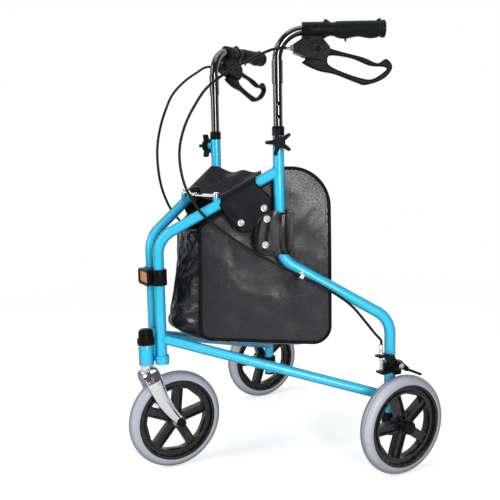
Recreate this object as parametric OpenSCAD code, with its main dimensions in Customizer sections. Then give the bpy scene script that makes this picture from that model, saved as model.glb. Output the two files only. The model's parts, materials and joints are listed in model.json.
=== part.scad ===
// Folding three wheel rollator: two side frames hinge on a steering head with one caster in front,
// each side carries a braked wheel, a height adjustable handle and one half of a soft bag.

/* [Frame] */
// Distance between the two front posts
post_gap = 39; // [36:1:46]
// Angle of each side frame to the walking direction
open_angle = 28.4; // [24:0.2:32]
// Distance along the side frame from the front post to the upright
upright_s = 226; // [215:1:240]
// Distance along the side frame from the front post to the rear post
rear_s = 432; // [420:1:450]
// Diameter of the front tube
front_od = 20; // [19:0.5:22]
// Diameter of the rear tube with the upright
rear_od = 21; // [21:0.5:24]
// Diameter of the lower tube
lower_od = 19; // [16:0.5:20]
// Wall of the frame tubes
tube_wall = 1.5; // [1.2:0.1:2]
// Height of the corner between front post and slope
front_corner_z = 452; // [435:1:470]
// Height where the slope meets the upright
slope_top_z = 574; // [560:1:590]
// Height of the corner between upright and rear slope
upright_corner_z = 411; // [400:1:425]
// Height of the corner between rear slope and rear post
rear_corner_z = 291; // [280:1:305]
// Height of the upright's top
upright_top_z = 637; // [625:1:650]
// Lowest point of the front posts
front_post_z = 215; // [212:1:220]
// Lowest point of the rear posts
rear_post_z = 70; // [60:1:76]
// Height of the lower tube at the front post
lower_front_z = 264; // [258:1:272]
// Height of the lower tube at the rear post
lower_rear_z = 139; // [134:1:150]
// Centre line radius of the frame bends
bend_r = 48; // [44:1:54]

/* [Wheels] */
// Outer diameter of the wheels
wheel_d = 190; // [180:1:200]
// Width of the tyres
tyre_w = 28; // [24:1:30]
// Height of the tyre above the rim
tyre_h = 16; // [13:0.5:20]
// Width of the wheel hubs
hub_w = 29; // [27:1:32]
// Diameter of the wheel hubs
hub_d = 30; // [28:1:34]
// Number of spokes in a wheel
spokes = 5; // [4:1:6]
// Width of a spoke
spoke_w = 18; // [15:0.5:20]
// Diameter of the axles
axle_d = 8; // [7:0.5:9]
// Diameter of the wheel bearings
bearing_d = 22; // [20:1:24]
// Width of a wheel bearing
bearing_w = 7; // [6:0.5:8]
// Distance from the rear post to the wheel's middle plane
wheel_out = 35.4; // [35:0.2:40]
// Distance of the front axle behind the fork's stem
trail = 54.5; // [50:0.5:60]
// Distance of the fork's stem in front of the posts
stem_ahead = 24; // [23.5:0.5:28]

/* [Handles] */
// Height of the grip's axis
grip_z = 822; // [810:1:835]
// Diameter of the sliding handle tube
handle_od = 17.4; // [16.5:0.1:17.4]
// Diameter of the handle tube's thicker sleeve
sleeve_od = 20.4; // [19.5:0.1:21]
// Lower end of the thicker sleeve
sleeve_z = 729; // [722:1:738]
// Lower end of the handle tube inside the upright
handle_bottom_z = 520; // [515:1:530]
// Centre line radius of the handle's bend
handle_bend_r = 50; // [46:1:52]
// Distance from the upright to the front face of the grip
grip_from = 83; // [82:1:86]
// Length of the grip
grip_len = 111; // [105:1:120]
// Diameter of the grip's rear end
grip_end_d = 31; // [30:0.5:33]
// Height of the clamp screw
knob_z = 624.5; // [618:0.5:630]
// Spacing of the adjusting holes
hole_pitch = 23; // [20:0.5:25.4]
// Diameter of the adjusting holes
hole_d = 7; // [6:0.5:8]
// Reach of the star knob's arms
knob_reach = 25; // [22:0.5:28]

/* [Brakes] */
// Thickness of the brake lever
lever_t = 11; // [9:0.5:12]
// Diameter of the brake cables
cable_d = 5; // [4:0.2:6]
// Diameter of the return spring
spring_d = 8.4; // [7.5:0.2:9.5]
// Diameter of the spring's wire
spring_wire = 1.4; // [1.2:0.1:1.8]
// Curls of the return spring
spring_curls = 7; // [5:1:8]
// Height of the brake bracket's upper ear above the tyre
ear_up = 32; // [29:0.5:36]

/* [Bag] */
// Thickness of the bag's walls
bag_t = 3; // [2:0.2:3.6]
// Lowest point of the bag
bag_z = 243; // [240:1:250]
// Front edge of the bag's side along the frame
bag_front_s = 72; // [70:1:78]
// Rear edge of the bag's side along the frame
bag_rear_s = 322; // [312:1:330]

/* [Hidden] */
$fn = 48;

// Colours
blue = "deepskyblue";
black = [0.12, 0.12, 0.13];
grey = [0.62, 0.63, 0.69];
chrome = [0.8, 0.81, 0.83];
steel = [0.6, 0.61, 0.63];
amber = "darkorange";
white = [0.92, 0.92, 0.9];

// Clearances: running fit of a pin, gap between moving faces, gap round a soft wall
run = 0.05;
gap = 0.3;
soft_gap = 0.4;

// Straight runs reach a little into each bend, which is drawn that much fuller
bend_lap = 0.5;
bend_swell = 0.15;

// Wheel diameter that the heights of the frame are given for, other wheels raise or lower the frame
frame_wheel_d = 190;

// Places that follow from the driving dimensions
wheel_r = wheel_d / 2;
rim_r = wheel_r - tyre_h;
ride = wheel_d - frame_wheel_d;
front_r = front_od / 2;
rear_r = rear_od / 2;
lower_r = lower_od / 2;
handle_r = handle_od / 2;
axle_r = axle_d / 2;
half_gap = post_gap / 2;
front_axle_y = trail - stem_ahead;
rear_axle_y = rear_s * cos(open_angle);
hinge_y = -(front_axle_y + rear_axle_y) / 2;
post_x = half_gap + rear_s * sin(open_angle);
post_y = hinge_y + rear_axle_y;
wheel_x = post_x + wheel_out;
stem_y = hinge_y - stem_ahead;
fork_axle_y = hinge_y + front_axle_y;
slope_rise = (slope_top_z - front_corner_z) / upright_s;
rear_drop = (upright_corner_z - rear_corner_z) / (rear_s - upright_s);
lower_drop = (lower_front_z - lower_rear_z) / rear_s;
grip_front_s = upright_s + grip_from;
grip_rear_s = grip_front_s + grip_len;

function slope_z(s) = front_corner_z + s * slope_rise;
function rear_slope_z(s) = upright_corner_z - (s - upright_s) * rear_drop;
function arc(c, r, a, b, n) = [for (i = [0:n]) c + r * [cos(a + (b - a) * i / n), sin(a + (b - a) * i / n)]];
function unit(v) = v / norm(v);

// Frame of the left side: X runs along the side frame to the rear, Y points inward, Z up
module on_left_frame() {
  translate([half_gap, hinge_y, ride])
    rotate([0, 0, 90 - open_angle])
      children();
}

// Lifts what is fixed to the frame with the size of the wheels
module on_ride() {
  translate([0, 0, ride])
    children();
}

// Frame at the left rear post: X points outboard along the wheel's axle, Y to the rear
module on_left_post() {
  translate([post_x, post_y, 0])
    children();
}

module right_side() {
  mirror([1, 0, 0])
    children();
}

// Round bar from p to q, two points [s, z] in the side frame's plane
module bar(p, q, r) {
  d = q - p;
  translate([p[0], 0, p[1]])
    rotate([0, atan2(d[0], d[1]), 0])
      cylinder(h = norm(d), r = r);
}

// Round bar along a bent path of points [s, z], every inner corner rounded to radius bend
module bent_bar(path, bend, r, end = 0) {
  last = len(path) - 1;
  dirs = [for (i = [0:last - 1]) unit(path[i + 1] - path[i])];
  turn = [for (i = [1:last - 1]) acos(dirs[i - 1] * dirs[i])];
  cut = [for (i = [0:last]) i == 0 || i == last ? -end : bend * tan(turn[i - 1] / 2)];
  for (i = [0:last - 1])
    bar(
      path[i] + dirs[i] * (cut[i] - (i == 0 ? 0 : bend_lap)),
      path[i + 1] - dirs[i] * (cut[i + 1] - (i == last - 1 ? 0 : bend_lap)), r);
  for (i = [1:last - 1])
    elbow(path[i] - dirs[i - 1] * cut[i], dirs[i - 1], dirs[i], turn[i - 1], bend, r + bend_swell);
}

// Bend that starts at p in direction d and ends in direction e
module elbow(p, d, e, turn, bend, r) {
  left = d[0] * e[1] - d[1] * e[0] > 0;
  side = left ? [-d[1], d[0]] : [d[1], -d[0]];
  centre = p + side * bend;
  start = left ? atan2(-side[1], -side[0]) : atan2(-side[1], -side[0]) - turn;
  translate([centre[0], 0, centre[1]])
    rotate([90, 0, 0])
      rotate([0, 0, start])
        rotate_extrude(angle = turn)
          translate([bend, 0])
            circle(r = r);
}

// Hollow bent tube
module bent_tube(path, bend, r, wall) {
  difference() {
    bent_bar(path, bend, r);
    bent_bar(path, bend, r - wall, 1);
  }
}

// Flat plate cut from an outline of points [s, z], its thickness centred on the plane at y
module plate(outline, t, y = 0) {
  translate([0, y + t / 2, 0])
    rotate([90, 0, 0])
      linear_extrude(height = t)
        polygon(outline);
}

// Pin across the side frame's plane at [s, z], from y0 to y1
module cross_pin(p, r, y0, y1) {
  translate([p[0], y1, p[1]])
    rotate([90, 0, 0])
      cylinder(h = y1 - y0, r = r);
}

// Ring along X from x0 to x1
module ring_x(x0, x1, r, hole) {
  translate([x0, 0, 0])
    rotate([0, 90, 0])
      difference() {
        cylinder(h = x1 - x0, r = r);
        translate([0, 0, -1])
          cylinder(h = x1 - x0 + 2, r = hole);
      }
}

module rod_x(x0, x1, r) {
  translate([x0, 0, 0])
    rotate([0, 90, 0])
      cylinder(h = x1 - x0, r = r);
}

// Points of a smooth curve through a list, with steps between each pair of points
function knot(p, i) = p[max(0, min(len(p) - 1, i))];
function blend_pts(a, b, c, d, t) =
  0.5 * (2 * b + (c - a) * t + (2 * a - 5 * b + 4 * c - d) * t * t + (3 * b - a - 3 * c + d) * t * t * t);
function smooth(p, steps) = concat(
  [for (i = [0:len(p) - 2]) for (k = [0:steps - 1])
    blend_pts(knot(p, i - 1), p[i], p[i + 1], knot(p, i + 2), k / steps)],
  [p[len(p) - 1]]);

// Closed skin over rings of equal length
function ring_faces(rings, sides) = concat(
  [for (k = [1:sides - 2]) [0, k, k + 1]],
  [for (i = [0:rings - 2]) for (k = [0:sides - 1]) let (m = (k + 1) % sides)
    each [[i * sides + k, (i + 1) * sides + k, i * sides + m],
          [i * sides + m, (i + 1) * sides + k, (i + 1) * sides + m]]],
  [for (k = [1:sides - 2]) let (b = (rings - 1) * sides) [b, b + k + 1, b + k]]);
module skin(rings) {
  sides = len(rings[0]);
  polyhedron(points = [for (r = rings) each r], faces = ring_faces(len(rings), sides), convexity = 8);
}

// Direction of a curve at point i, and a side vector square to it
function tangent(p, i) = unit(knot(p, i + 1) - knot(p, i - 1));
function carry(v, t) = unit(v - t * (v * t));
function side_vectors(p, i, v) = let (w = carry(v, tangent(p, i)))
  i == len(p) - 1 ? [w] : concat([w], side_vectors(p, i + 1, w));
function tube_rings(p, r, sides, first) = let (side = side_vectors(p, 0, first))
  [for (i = [0:len(p) - 1]) let (t = tangent(p, i), u = side[i], v = cross(t, u))
    [for (k = [0:sides - 1]) p[i] + r * (cos(360 * k / sides) * u + sin(360 * k / sides) * v)]];

// Cylinder between two points in space
module strut(p, q, r) {
  d = q - p;
  translate(p)
    rotate([0, acos(d[2] / norm(d)), atan2(d[1], d[0])])
      cylinder(h = norm(d), r = r);
}

// Closed smooth outline through a few points
function smooth_loop(p, steps) = let (n = len(p))
  [for (i = [0:n - 1]) for (k = [0:steps - 1])
    blend_pts(p[(i + n - 1) % n], p[i], p[(i + 1) % n], p[(i + 2) % n], k / steps)];

// Wheels, modelled round the X axis with the outboard side at +X
front_turn = 30;
rear_turn = 54;
rim_lip = 4;
rim_w = 24;
rim_in = rim_r - 17;
web_t = 9;
groove_w = 1.2;
groove_at = 5;
window_r = 5;
window_out = rim_in - 4;
spoke_edge = spoke_w / 2 + window_r;
window_in = max(spoke_edge / sin(180 / spokes), hub_d / 2 + window_r + 1);
rib_w = 2.6;
rib_at = spoke_w / 2 - rib_w / 2 - 0.4;
rib_t = 17;
bearing_r = bearing_d / 2;
hub_bore = axle_r + 2.5;

module tyre() {
  rotate([0, 90, 0])
    rotate_extrude($fn = 96)
      difference() {
        intersection() {
          translate([wheel_r - tyre_w / 2, 0])
            circle(r = tyre_w / 2);
          translate([rim_r, -tyre_w])
            square([tyre_w, 2 * tyre_w]);
        }
        for (y = [-groove_at, groove_at])
          translate([wheel_r - groove_w * 2, y - groove_w / 2])
            square([tyre_w, groove_w]);
      }
}

// Rounded triangle between two spokes
module spoke_window() {
  a = 180 / spokes - asin(spoke_edge / window_out);
  corner = window_out * [cos(a), sin(a)];
  lean = 90 + atan2(corner[1], corner[0] - window_in);
  polygon(concat(
    arc([corner[0], -corner[1]], window_r, -lean, 0, 6),
    arc(corner, window_r, 0, lean, 6),
    arc([window_in, 0], window_r, lean, 360 - lean, 6)));
}

module rim() {
  difference() {
    union() {
      rotate([0, 90, 0])
        rotate_extrude($fn = 96)
          polygon([
            [rim_r, -rim_w / 2], [rim_r, rim_w / 2], [rim_r - rim_lip, rim_w / 2], [rim_r - rim_lip - 2, 6],
            [rim_in + 5, 6], [rim_in + 4, 9], [rim_in, 9], [rim_in, -9], [rim_in + 4, -9], [rim_in + 5, -6],
            [rim_r - rim_lip - 2, -6], [rim_r - rim_lip, -rim_w / 2]]);
      rotate([0, 90, 0])
        translate([0, 0, -web_t / 2])
          linear_extrude(height = web_t)
            difference() {
              circle(r = rim_in + 1);
              for (k = [0:spokes - 1])
                rotate([0, 0, (k + 0.5) * 360 / spokes])
                  spoke_window();
            }
      for (k = [0:spokes - 1], side = [-1, 1])
        rotate([k * 360 / spokes, 0, 0])
          translate([-rib_t / 2, side * rib_at - rib_w / 2, -rim_in - 1])
            cube([rib_t, rib_w, rim_in]);
      rod_x(-hub_w / 2, hub_w / 2, hub_d / 2);
    }
    rod_x(-hub_w, hub_w, hub_bore);
    rod_x(hub_w / 2 - bearing_w, hub_w, bearing_r);
    rod_x(-hub_w, bearing_w - hub_w / 2, bearing_r);
  }
}

module bearings() {
  ring_x(hub_w / 2 - bearing_w, hub_w / 2, bearing_r, axle_r + run);
  ring_x(-hub_w / 2, bearing_w - hub_w / 2, bearing_r, axle_r + run);
}

// Domed cap over the axle's nut
cap_r = 13;
cap_h = 11;
cap_wall = 2.5;
nut_r = 7;
nut_h = 5;
module hub_cap() {
  translate([hub_w / 2, 0, 0])
    rotate([0, 90, 0])
      difference() {
        rotate_extrude()
          polygon(concat([[0, 0], [cap_r, 0]], arc([cap_r - 4, cap_h - 4], 4, 0, 90, 8), [[0, cap_h]]));
        translate([0, 0, -1])
          cylinder(h = cap_h - cap_wall + 1, r = cap_r - cap_wall);
      }
}

// Steering head
head_r = 14.5;
head_z = 214;
head_top_z = 250;
head_wall = 2.5;
stem_r = 8;
flange_h = 2;
bush_h = 10;
plate_z = 219;
plate_h = 8;
plate_ring = 3.4;
web_half = 8;
web_top_z = 280;
module at_stem() {
  translate([0, stem_y, 0])
    children();
}
module on_posts() {
  for (side = [-1, 1])
    translate([side * half_gap, hinge_y, 0])
      children();
}

module head_tube() {
  color(blue)
    on_ride() difference() {
      union() {
        at_stem()
          translate([0, 0, head_z])
            cylinder(h = head_top_z - head_z, r = head_r);
        on_posts()
          translate([0, 0, plate_z])
            cylinder(h = plate_h, r = front_r + plate_ring);
        translate([-half_gap, hinge_y - front_r, plate_z])
          cube([post_gap, 2 * front_r, plate_h]);
        translate([-web_half, stem_y, plate_z])
          cube([2 * web_half, stem_ahead - front_r + 3, web_top_z - plate_z]);
      }
      at_stem()
        translate([0, 0, head_z - 1])
          cylinder(h = head_top_z - head_z + 2, r = head_r - head_wall);
      at_stem()
        translate([0, 0, head_top_z])
          cylinder(h = web_top_z, r = head_r + 2.5);
      on_posts()
        translate([0, 0, plate_z - 1])
          cylinder(h = web_top_z, r = front_r + run);
    }
}

module head_bearings() {
  color(steel)
    on_ride() at_stem()
      for (up = [0, 1])
        translate([0, 0, up ? head_top_z - bush_h : head_z - flange_h])
          difference() {
            union() {
              translate([0, 0, up ? 0 : flange_h])
                cylinder(h = bush_h, r = head_r - head_wall);
              translate([0, 0, up ? bush_h : 0])
                cylinder(h = flange_h, r = head_r);
            }
            translate([0, 0, -1])
              cylinder(h = bush_h + flange_h + 2, r = stem_r + run);
          }
}

// Stepped dome on top of the upper bush
dome_z = head_top_z + flange_h;
dome_step = 12;
dome_h = 30;
module head_cap() {
  color(black)
    on_ride() at_stem()
      translate([0, 0, dome_z])
        difference() {
          rotate_extrude()
            polygon(concat(
              [[0, 0], [head_r + 1.5, 0], [head_r + 2, 1], [head_r + 2, dome_step - 1], [head_r + 1, dome_step],
               [head_r - 0.6, dome_step]],
              arc([head_r - 8.6, dome_h - 8], 8, 0, 90, 10), [[0, dome_h]]));
          translate([0, 0, -1])
            cylinder(h = dome_h - 3, r = head_r - 3);
        }
}

// Block that keeps both posts together high up
block_z = 366;
block_h = 30;
block_r = front_r + 4.5;
block_face = 5;
module hinge_block() {
  color(black)
    on_ride() difference() {
      union() {
        on_posts()
          translate([0, 0, block_z])
            cylinder(h = block_h, r = block_r);
        translate([-half_gap, hinge_y - block_r - block_face, block_z])
          cube([post_gap, block_r + block_face + 9, block_h]);
      }
      on_posts()
        translate([0, 0, block_z - 1])
          cylinder(h = block_h + 2, r = front_r + run);
    }
}

reflector_t = 3;
reflector_margin = 3.5;
module reflector() {
  face_y = hinge_y - block_r - block_face;
  half = half_gap + 2;
  color(amber)
    on_ride() translate([0, face_y, block_z + block_h / 2])
      rotate([90, 0, 0])
        linear_extrude(height = reflector_t)
          polygon(concat(
            arc([half - 4, block_h / 2 - reflector_margin - 4], 4, 0, 90, 5),
            arc([4 - half, block_h / 2 - reflector_margin - 4], 4, 90, 180, 5),
            arc([4 - half, 4 + reflector_margin - block_h / 2], 4, 180, 270, 5),
            arc([half - 4, 4 + reflector_margin - block_h / 2], 4, 270, 360, 5)));
}

// Trailing fork: one swept bow over the wheel with an eye at each end
leg_x = 26;
crown_z = 203;
eye_r = 9.5;
eye_t = 6;
bow_w = 31;
bow_tip_w = 16;
bow_t = 9;
bow_sides = 16;
function ridge(v) = sign(v) * pow(abs(v), 1.4);
bow_top = crown_z + ride;
function bow_z(part) = wheel_r + part * (bow_top - wheel_r);
bow_side_pts = [
  [leg_x, front_axle_y - 4, wheel_r + 6], [leg_x, 16, bow_z(0.186)], [leg_x, 2, bow_z(0.382)],
  [leg_x, -10, bow_z(0.608)], [leg_x, -18, bow_z(0.814)], [leg_x - 6, 0.5 - stem_ahead, bow_top - 5],
  [leg_x - 16, -stem_ahead, bow_top]];
bow_path = smooth(concat(
  bow_side_pts, [[0, -stem_ahead, bow_top + 0.5]],
  [for (i = [len(bow_side_pts) - 1:-1:0]) [-bow_side_pts[i][0], bow_side_pts[i][1], bow_side_pts[i][2]]]), 3);
function bow_ring(i) = let (
  t = tangent(bow_path, i), away = bow_path[i][0] / leg_x,
  flat = carry([0, 1, 0.75 * abs(away)], t), face = cross(t, flat),
  w = bow_tip_w + (bow_w - bow_tip_w) * min(1, abs(i - (len(bow_path) - 1) * (away > 0 ? 0 : 1)) / 12))
  [for (k = [0:bow_sides - 1]) let (a = 360 * k / bow_sides)
    bow_path[i] + flat * (w / 2 * ridge(cos(a))) + face * (bow_t / 2 * ridge(sin(a)))];
module fork() {
  color(chrome) {
    difference() {
      union() {
        translate([0, hinge_y, 0])
          skin([for (i = [0:len(bow_path) - 1]) bow_ring(i)]);
        for (side = [-1, 1])
          translate([side * leg_x, fork_axle_y, wheel_r])
            rod_x(-eye_t / 2, eye_t / 2, eye_r);
        on_ride() at_stem()
          translate([0, 0, crown_z])
            cylinder(h = dome_z + 4 - crown_z, r = stem_r);
        on_ride() at_stem()
          translate([0, 0, crown_z])
            cylinder(h = head_z - flange_h - gap - crown_z, r = head_r - 3);
      }
      translate([0, fork_axle_y, wheel_r])
        rod_x(-2 * leg_x, 2 * leg_x, axle_r);
    }
  }
}

stem_nut_h = 8;
module stem_nut() {
  color(steel)
    on_ride() at_stem()
      translate([0, 0, dome_z + gap])
        difference() {
          cylinder(h = stem_nut_h, r = head_r - 4, $fn = 6);
          translate([0, 0, -1])
            cylinder(h = 5 - gap, r = stem_r);
        }
}

module fork_axle() {
  color(steel)
    translate([0, fork_axle_y, wheel_r]) {
      rod_x(-leg_x - eye_t / 2 - 5, leg_x + eye_t / 2 + 5, axle_r);
      for (side = [-1, 1])
        translate([side * (leg_x + eye_t / 2 + 2), 0, 0])
          rotate([0, 90, 0])
            cylinder(h = 4, r = nut_r, center = true, $fn = 6);
      for (side = [-1, 1])
        translate([side * (leg_x - eye_t / 2 + hub_w / 2 + gap) / 2, 0, 0])
          rotate([0, 90, 0])
            cylinder(h = leg_x - eye_t / 2 - hub_w / 2 - gap, r = axle_r + 2.5, center = true);
    }
}

module at_front_wheel() {
  translate([0, fork_axle_y, wheel_r])
    children();
}
module front_tyre() {
  color(grey)
    at_front_wheel()
      tyre();
}
module front_rim() {
  color(black)
    at_front_wheel()
      rotate([front_turn, 0, 0])
        rim();
}
module front_bearings() {
  color(steel)
    at_front_wheel()
      bearings();
}

// Left side frame
stay_s = 110;
stay_boss_z = slope_z(stay_s) + front_r + 6;
stay_boss_r = 6;
stay_pin_r = 3;
collar_r = front_r + 3;
front_path = [[0, front_post_z + 2.5], [0, front_corner_z], [upright_s, slope_top_z]];
module left_front_tube() {
  color(blue)
    on_left_frame()
      difference() {
        union() {
          bent_bar(front_path, bend_r, front_r);
          translate([0, 0, front_post_z])
            cylinder(h = plate_z - gap - front_post_z, r = collar_r);
          translate([0, 0, plate_z + plate_h + gap])
            cylinder(h = 4, r = collar_r);
          translate([stay_s, 0, slope_z(stay_s)])
            cylinder(h = stay_boss_z - slope_z(stay_s), r = stay_boss_r);
          translate([stay_s, 0, stay_boss_z - 1])
            cylinder(h = 2 * stay_t + 3 * gap + 3, r = stay_pin_r);
        }
        bent_bar(front_path, bend_r, front_r - tube_wall, 1);
        translate([upright_s, 0, upright_corner_z])
          cylinder(h = upright_top_z - upright_corner_z, r = rear_r);
      }
}

nut_boss_r = 8;
nut_boss_h = 5.5;
screw_r = 3.9;
rear_path = [[upright_s, upright_top_z], [upright_s, upright_corner_z], [rear_s, rear_corner_z],
  [rear_s, rear_post_z - ride / 2]];
module left_rear_tube() {
  color(blue)
    difference() {
      on_left_frame()
        difference() {
          union() {
            bent_bar(rear_path, bend_r, rear_r);
            cross_pin([upright_s, knob_z], nut_boss_r, -rear_r - nut_boss_h, 0);
          }
          bent_bar(rear_path, bend_r, rear_r - tube_wall, 1);
          cross_pin([upright_s, knob_z], screw_r + 0.1, -rear_r - nut_boss_h - 1, 0);
        }
      on_left_post()
        translate([0, 0, wheel_r])
          rod_x(-2 * rear_r, 2 * rear_r, axle_r);
    }
}

module left_lower_tube() {
  front = [0, lower_front_z];
  rear = [rear_s, lower_rear_z];
  color(blue)
    on_left_frame()
      difference() {
        bar(front, rear, lower_r);
        bar(front - unit(rear - front), rear + unit(rear - front), lower_r - tube_wall);
        translate([0, 0, front_post_z])
          cylinder(h = front_corner_z - front_post_z, r = front_r);
        translate([rear_s, 0, rear_post_z])
          cylinder(h = rear_corner_z - rear_post_z, r = rear_r);
      }
}

ferrule_h = 17;
ferrule_r = 11.4;
module left_tube_collar() {
  color(black)
    on_left_frame()
      translate([upright_s, 0, upright_top_z])
        rotate_extrude()
          polygon([
            [handle_r + 0.25, 0], [ferrule_r, 0], [ferrule_r, ferrule_h - 2], [ferrule_r - 1.5, ferrule_h],
            [handle_r + 0.25, ferrule_h]]);
}

mount_r = 15;
mount_z = wheel_r - 11;
mount_h = 26;
plug_h = 4;
boss_gap = 0.4;
boss_end = wheel_out - hub_w / 2 - boss_gap;
module left_axle_bracket() {
  color(black)
    on_left_post() {
      difference() {
        union() {
          translate([0, 0, mount_z])
            cylinder(h = mount_h, r = mount_r);
          translate([0, 0, wheel_r])
            rod_x(0, boss_end, 11);
          translate([0, 0, wheel_r])
            rod_x(-mount_r - 1, 0, 9);
        }
        translate([0, 0, mount_z - 1])
          cylinder(h = mount_h + 2, r = rear_r);
        translate([0, 0, wheel_r])
          rod_x(-2 * mount_r, 2 * mount_r, axle_r);
      }
      translate([0, 0, rear_post_z + ride / 2 - plug_h])
        cylinder(h = plug_h, r = rear_r + 1);
    }
}

module left_axle() {
  color(steel)
    on_left_post()
      translate([0, 0, wheel_r]) {
        rod_x(-mount_r - 1, wheel_out + hub_w / 2 + boss_gap + nut_h + 2, axle_r);
        translate([-mount_r - 1 - nut_h, 0, 0])
          rotate([0, 90, 0])
            cylinder(h = nut_h, r = nut_r, $fn = 6);
        translate([wheel_out + hub_w / 2 + boss_gap, 0, 0])
          rotate([0, 90, 0])
            cylinder(h = nut_h, r = nut_r, $fn = 6);
      }
}

module at_left_wheel() {
  translate([wheel_x, post_y, wheel_r])
    children();
}
module left_tyre() {
  color(grey)
    at_left_wheel()
      tyre();
}
module left_rim() {
  color(black)
    at_left_wheel()
      rotate([rear_turn, 0, 0])
        rim();
}
module left_wheel_bearings() {
  color(steel)
    at_left_wheel()
      bearings();
}
module left_hub_cap() {
  color(black)
    at_left_wheel()
      hub_cap();
}

// Left handle
handle_wall = 1.4;
sleeve_top_z = grip_z - handle_bend_r - 2;
holes_below = 2;
holes_above = 3;
grip_end_t = 6;
handle_path = [[upright_s, handle_bottom_z], [upright_s, grip_z], [grip_rear_s - grip_end_t, grip_z]];
module left_handle_tube() {
  color(black)
    on_left_frame()
      difference() {
        union() {
          bent_bar(handle_path, handle_bend_r, handle_r);
          translate([upright_s, 0, sleeve_z])
            cylinder(h = sleeve_top_z - sleeve_z, r = sleeve_od / 2);
        }
        bent_bar(handle_path, handle_bend_r, handle_r - handle_wall, 1);
        for (k = [-holes_below:holes_above])
          cross_pin([upright_s, knob_z + k * hole_pitch], hole_d / 2, -handle_od, 0);
      }
}

// Grip with finger waves below, a plain round end and a raised nub at each end
grip_r = grip_end_d / 2 - 1.3;
wave = 1.7;
wave_len = 48;
pin_len = 9;
nub_z = grip_end_d * 0.6;
grip_steps = 16;
grip_sides = 20;
skin_len = grip_len - pin_len + 1;
function grip_at(x, a) = grip_r + (x < 4 || x > skin_len - 5 ? 1 : 0)
  - (cos(a) < 0 ? wave * cos(a) * cos(a) * cos(360 * (x - 14) / wave_len) : 0);
function grip_x(i) = i * skin_len / grip_steps;
module left_grip() {
  color(black)
    on_left_frame()
      difference() {
        union() {
          translate([grip_front_s, 0, grip_z])
            skin([for (i = [0:grip_steps]) [for (k = [0:grip_sides - 1])
              let (a = 360 * k / grip_sides, r = grip_at(grip_x(i), a))
                [grip_x(i), -r * sin(a), r * cos(a)]]]);
          bar([grip_rear_s - pin_len, grip_z], [grip_rear_s, grip_z], grip_end_d / 2);
          plate([
            [grip_front_s, grip_z + 10], [grip_front_s, grip_z + 15], [grip_front_s + 3, grip_z + nub_z],
            [grip_front_s + 7, grip_z + 17], [grip_front_s + 13, grip_z + 13.5], [grip_front_s + 13, grip_z + 10]], 8);
          plate([
            [grip_rear_s - 24, grip_z + 10], [grip_rear_s - 24, grip_z + 13], [grip_rear_s - 16, grip_z + nub_z],
            [grip_rear_s - pin_len - 1, grip_z + nub_z], [grip_rear_s - pin_len - 1, grip_z + 10]], 8);
          bar([grip_front_s + 40, grip_z - 21], [grip_front_s + 40, grip_z - 10], 2);
        }
        bar([grip_front_s - 1, grip_z], [grip_rear_s - grip_end_t, grip_z], handle_r);
      }
}

// Outline points measured from the upright and the grip's axis
function from_grip(p) = [for (q = p) [upright_s + q[0], grip_z + q[1]]];
lever_pivot = [upright_s + 72, grip_z - 34];
pivot_r = 3;
hub_lever_r = 13;
clamp_r = 14;
clamp_from = 45;
cheek_w = 24;
slot_from = 43;
slot_top = 18;
adjuster_z = -32;
adjuster_y = -10;
adjuster_from = 17;
adjuster_to = 29;
housing_outline = [
  [45, -12], [82, -12], [82.6, -17.5], [94, -31], [93, -45], [83, -55], [47, -47], [adjuster_to, -39], [adjuster_to, -25], [42, -17]];
module left_brake_housing() {
  color(black)
    on_left_frame()
      union() {
        difference() {
          union() {
            bar([upright_s + clamp_from, grip_z], [grip_front_s, grip_z], clamp_r);
            plate(from_grip(housing_outline), cheek_w);
          }
          bent_bar(handle_path, handle_bend_r, handle_r);
          plate(from_grip([
            [slot_from, -slot_top], [slot_from + 60, -slot_top], [slot_from + 60, -90], [slot_from, -90]]),
            lever_t + 2 * gap);
        }
        cross_pin(lever_pivot, pivot_r, -cheek_w / 2, cheek_w / 2);
      }
}

lever_outline = smooth_loop([
  [50, -51], [46, -58], [74, -71.5], [104, -78.5], [142, -93.5], [160, -98], [192, -87.5], [207, -68], [196, -53],
  [180, -60], [154, -49.5], [112, -38], [86, -29], [72, -24], [62, -34]], 4);
lever_window = smooth_loop([
  [97, -45], [134, -51], [166, -64], [190, -66.5], [197, -71], [178, -85], [160, -88], [124, -77], [96, -64],
  [90, -54]], 4);
module left_brake_lever() {
  color(black)
    on_left_frame()
      difference() {
        union() {
          plate(from_grip(lever_outline), lever_t);
          cross_pin(lever_pivot, hub_lever_r, -lever_t / 2, lever_t / 2);
        }
        plate(from_grip(lever_window), 2 * lever_t);
        cross_pin(lever_pivot, pivot_r + run, -lever_t, lever_t);
      }
}

module left_barrel_adjuster() {
  color(chrome)
    on_left_frame()
      translate([upright_s, adjuster_y, grip_z + adjuster_z]) {
        rod_x(adjuster_from, adjuster_to, 3.4);
        translate([adjuster_to - 6, 0, 0])
          rotate([0, 90, 0])
            cylinder(h = 6, r = 5, $fn = 6);
      }
}

// Star knob on the upright's weld nut
knob_y = -rear_r - nut_boss_h - gap;
knob_arms = 5;
knob_t = 10;
knob_hub_r = 11;
arm_root = 5.2;
arm_tip = 3.2;
module left_knob() {
  color(black)
    on_left_frame()
      translate([upright_s, knob_y, knob_z])
        rotate([90, 0, 0]) {
          linear_extrude(height = knob_t)
            for (k = [0:knob_arms - 1])
              rotate([0, 0, 36 + k * 360 / knob_arms]) {
                polygon([[0, -arm_root], [knob_reach - arm_tip, -arm_tip], [knob_reach - arm_tip, arm_tip],
                  [0, arm_root]]);
                translate([knob_reach - arm_tip, 0])
                  circle(r = arm_tip);
              }
          cylinder(h = knob_t + 3, r = knob_hub_r);
          translate([0, 0, -nut_boss_h - tube_wall])
            cylinder(h = nut_boss_h + tube_wall + 1, r = screw_r);
        }
}

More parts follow.
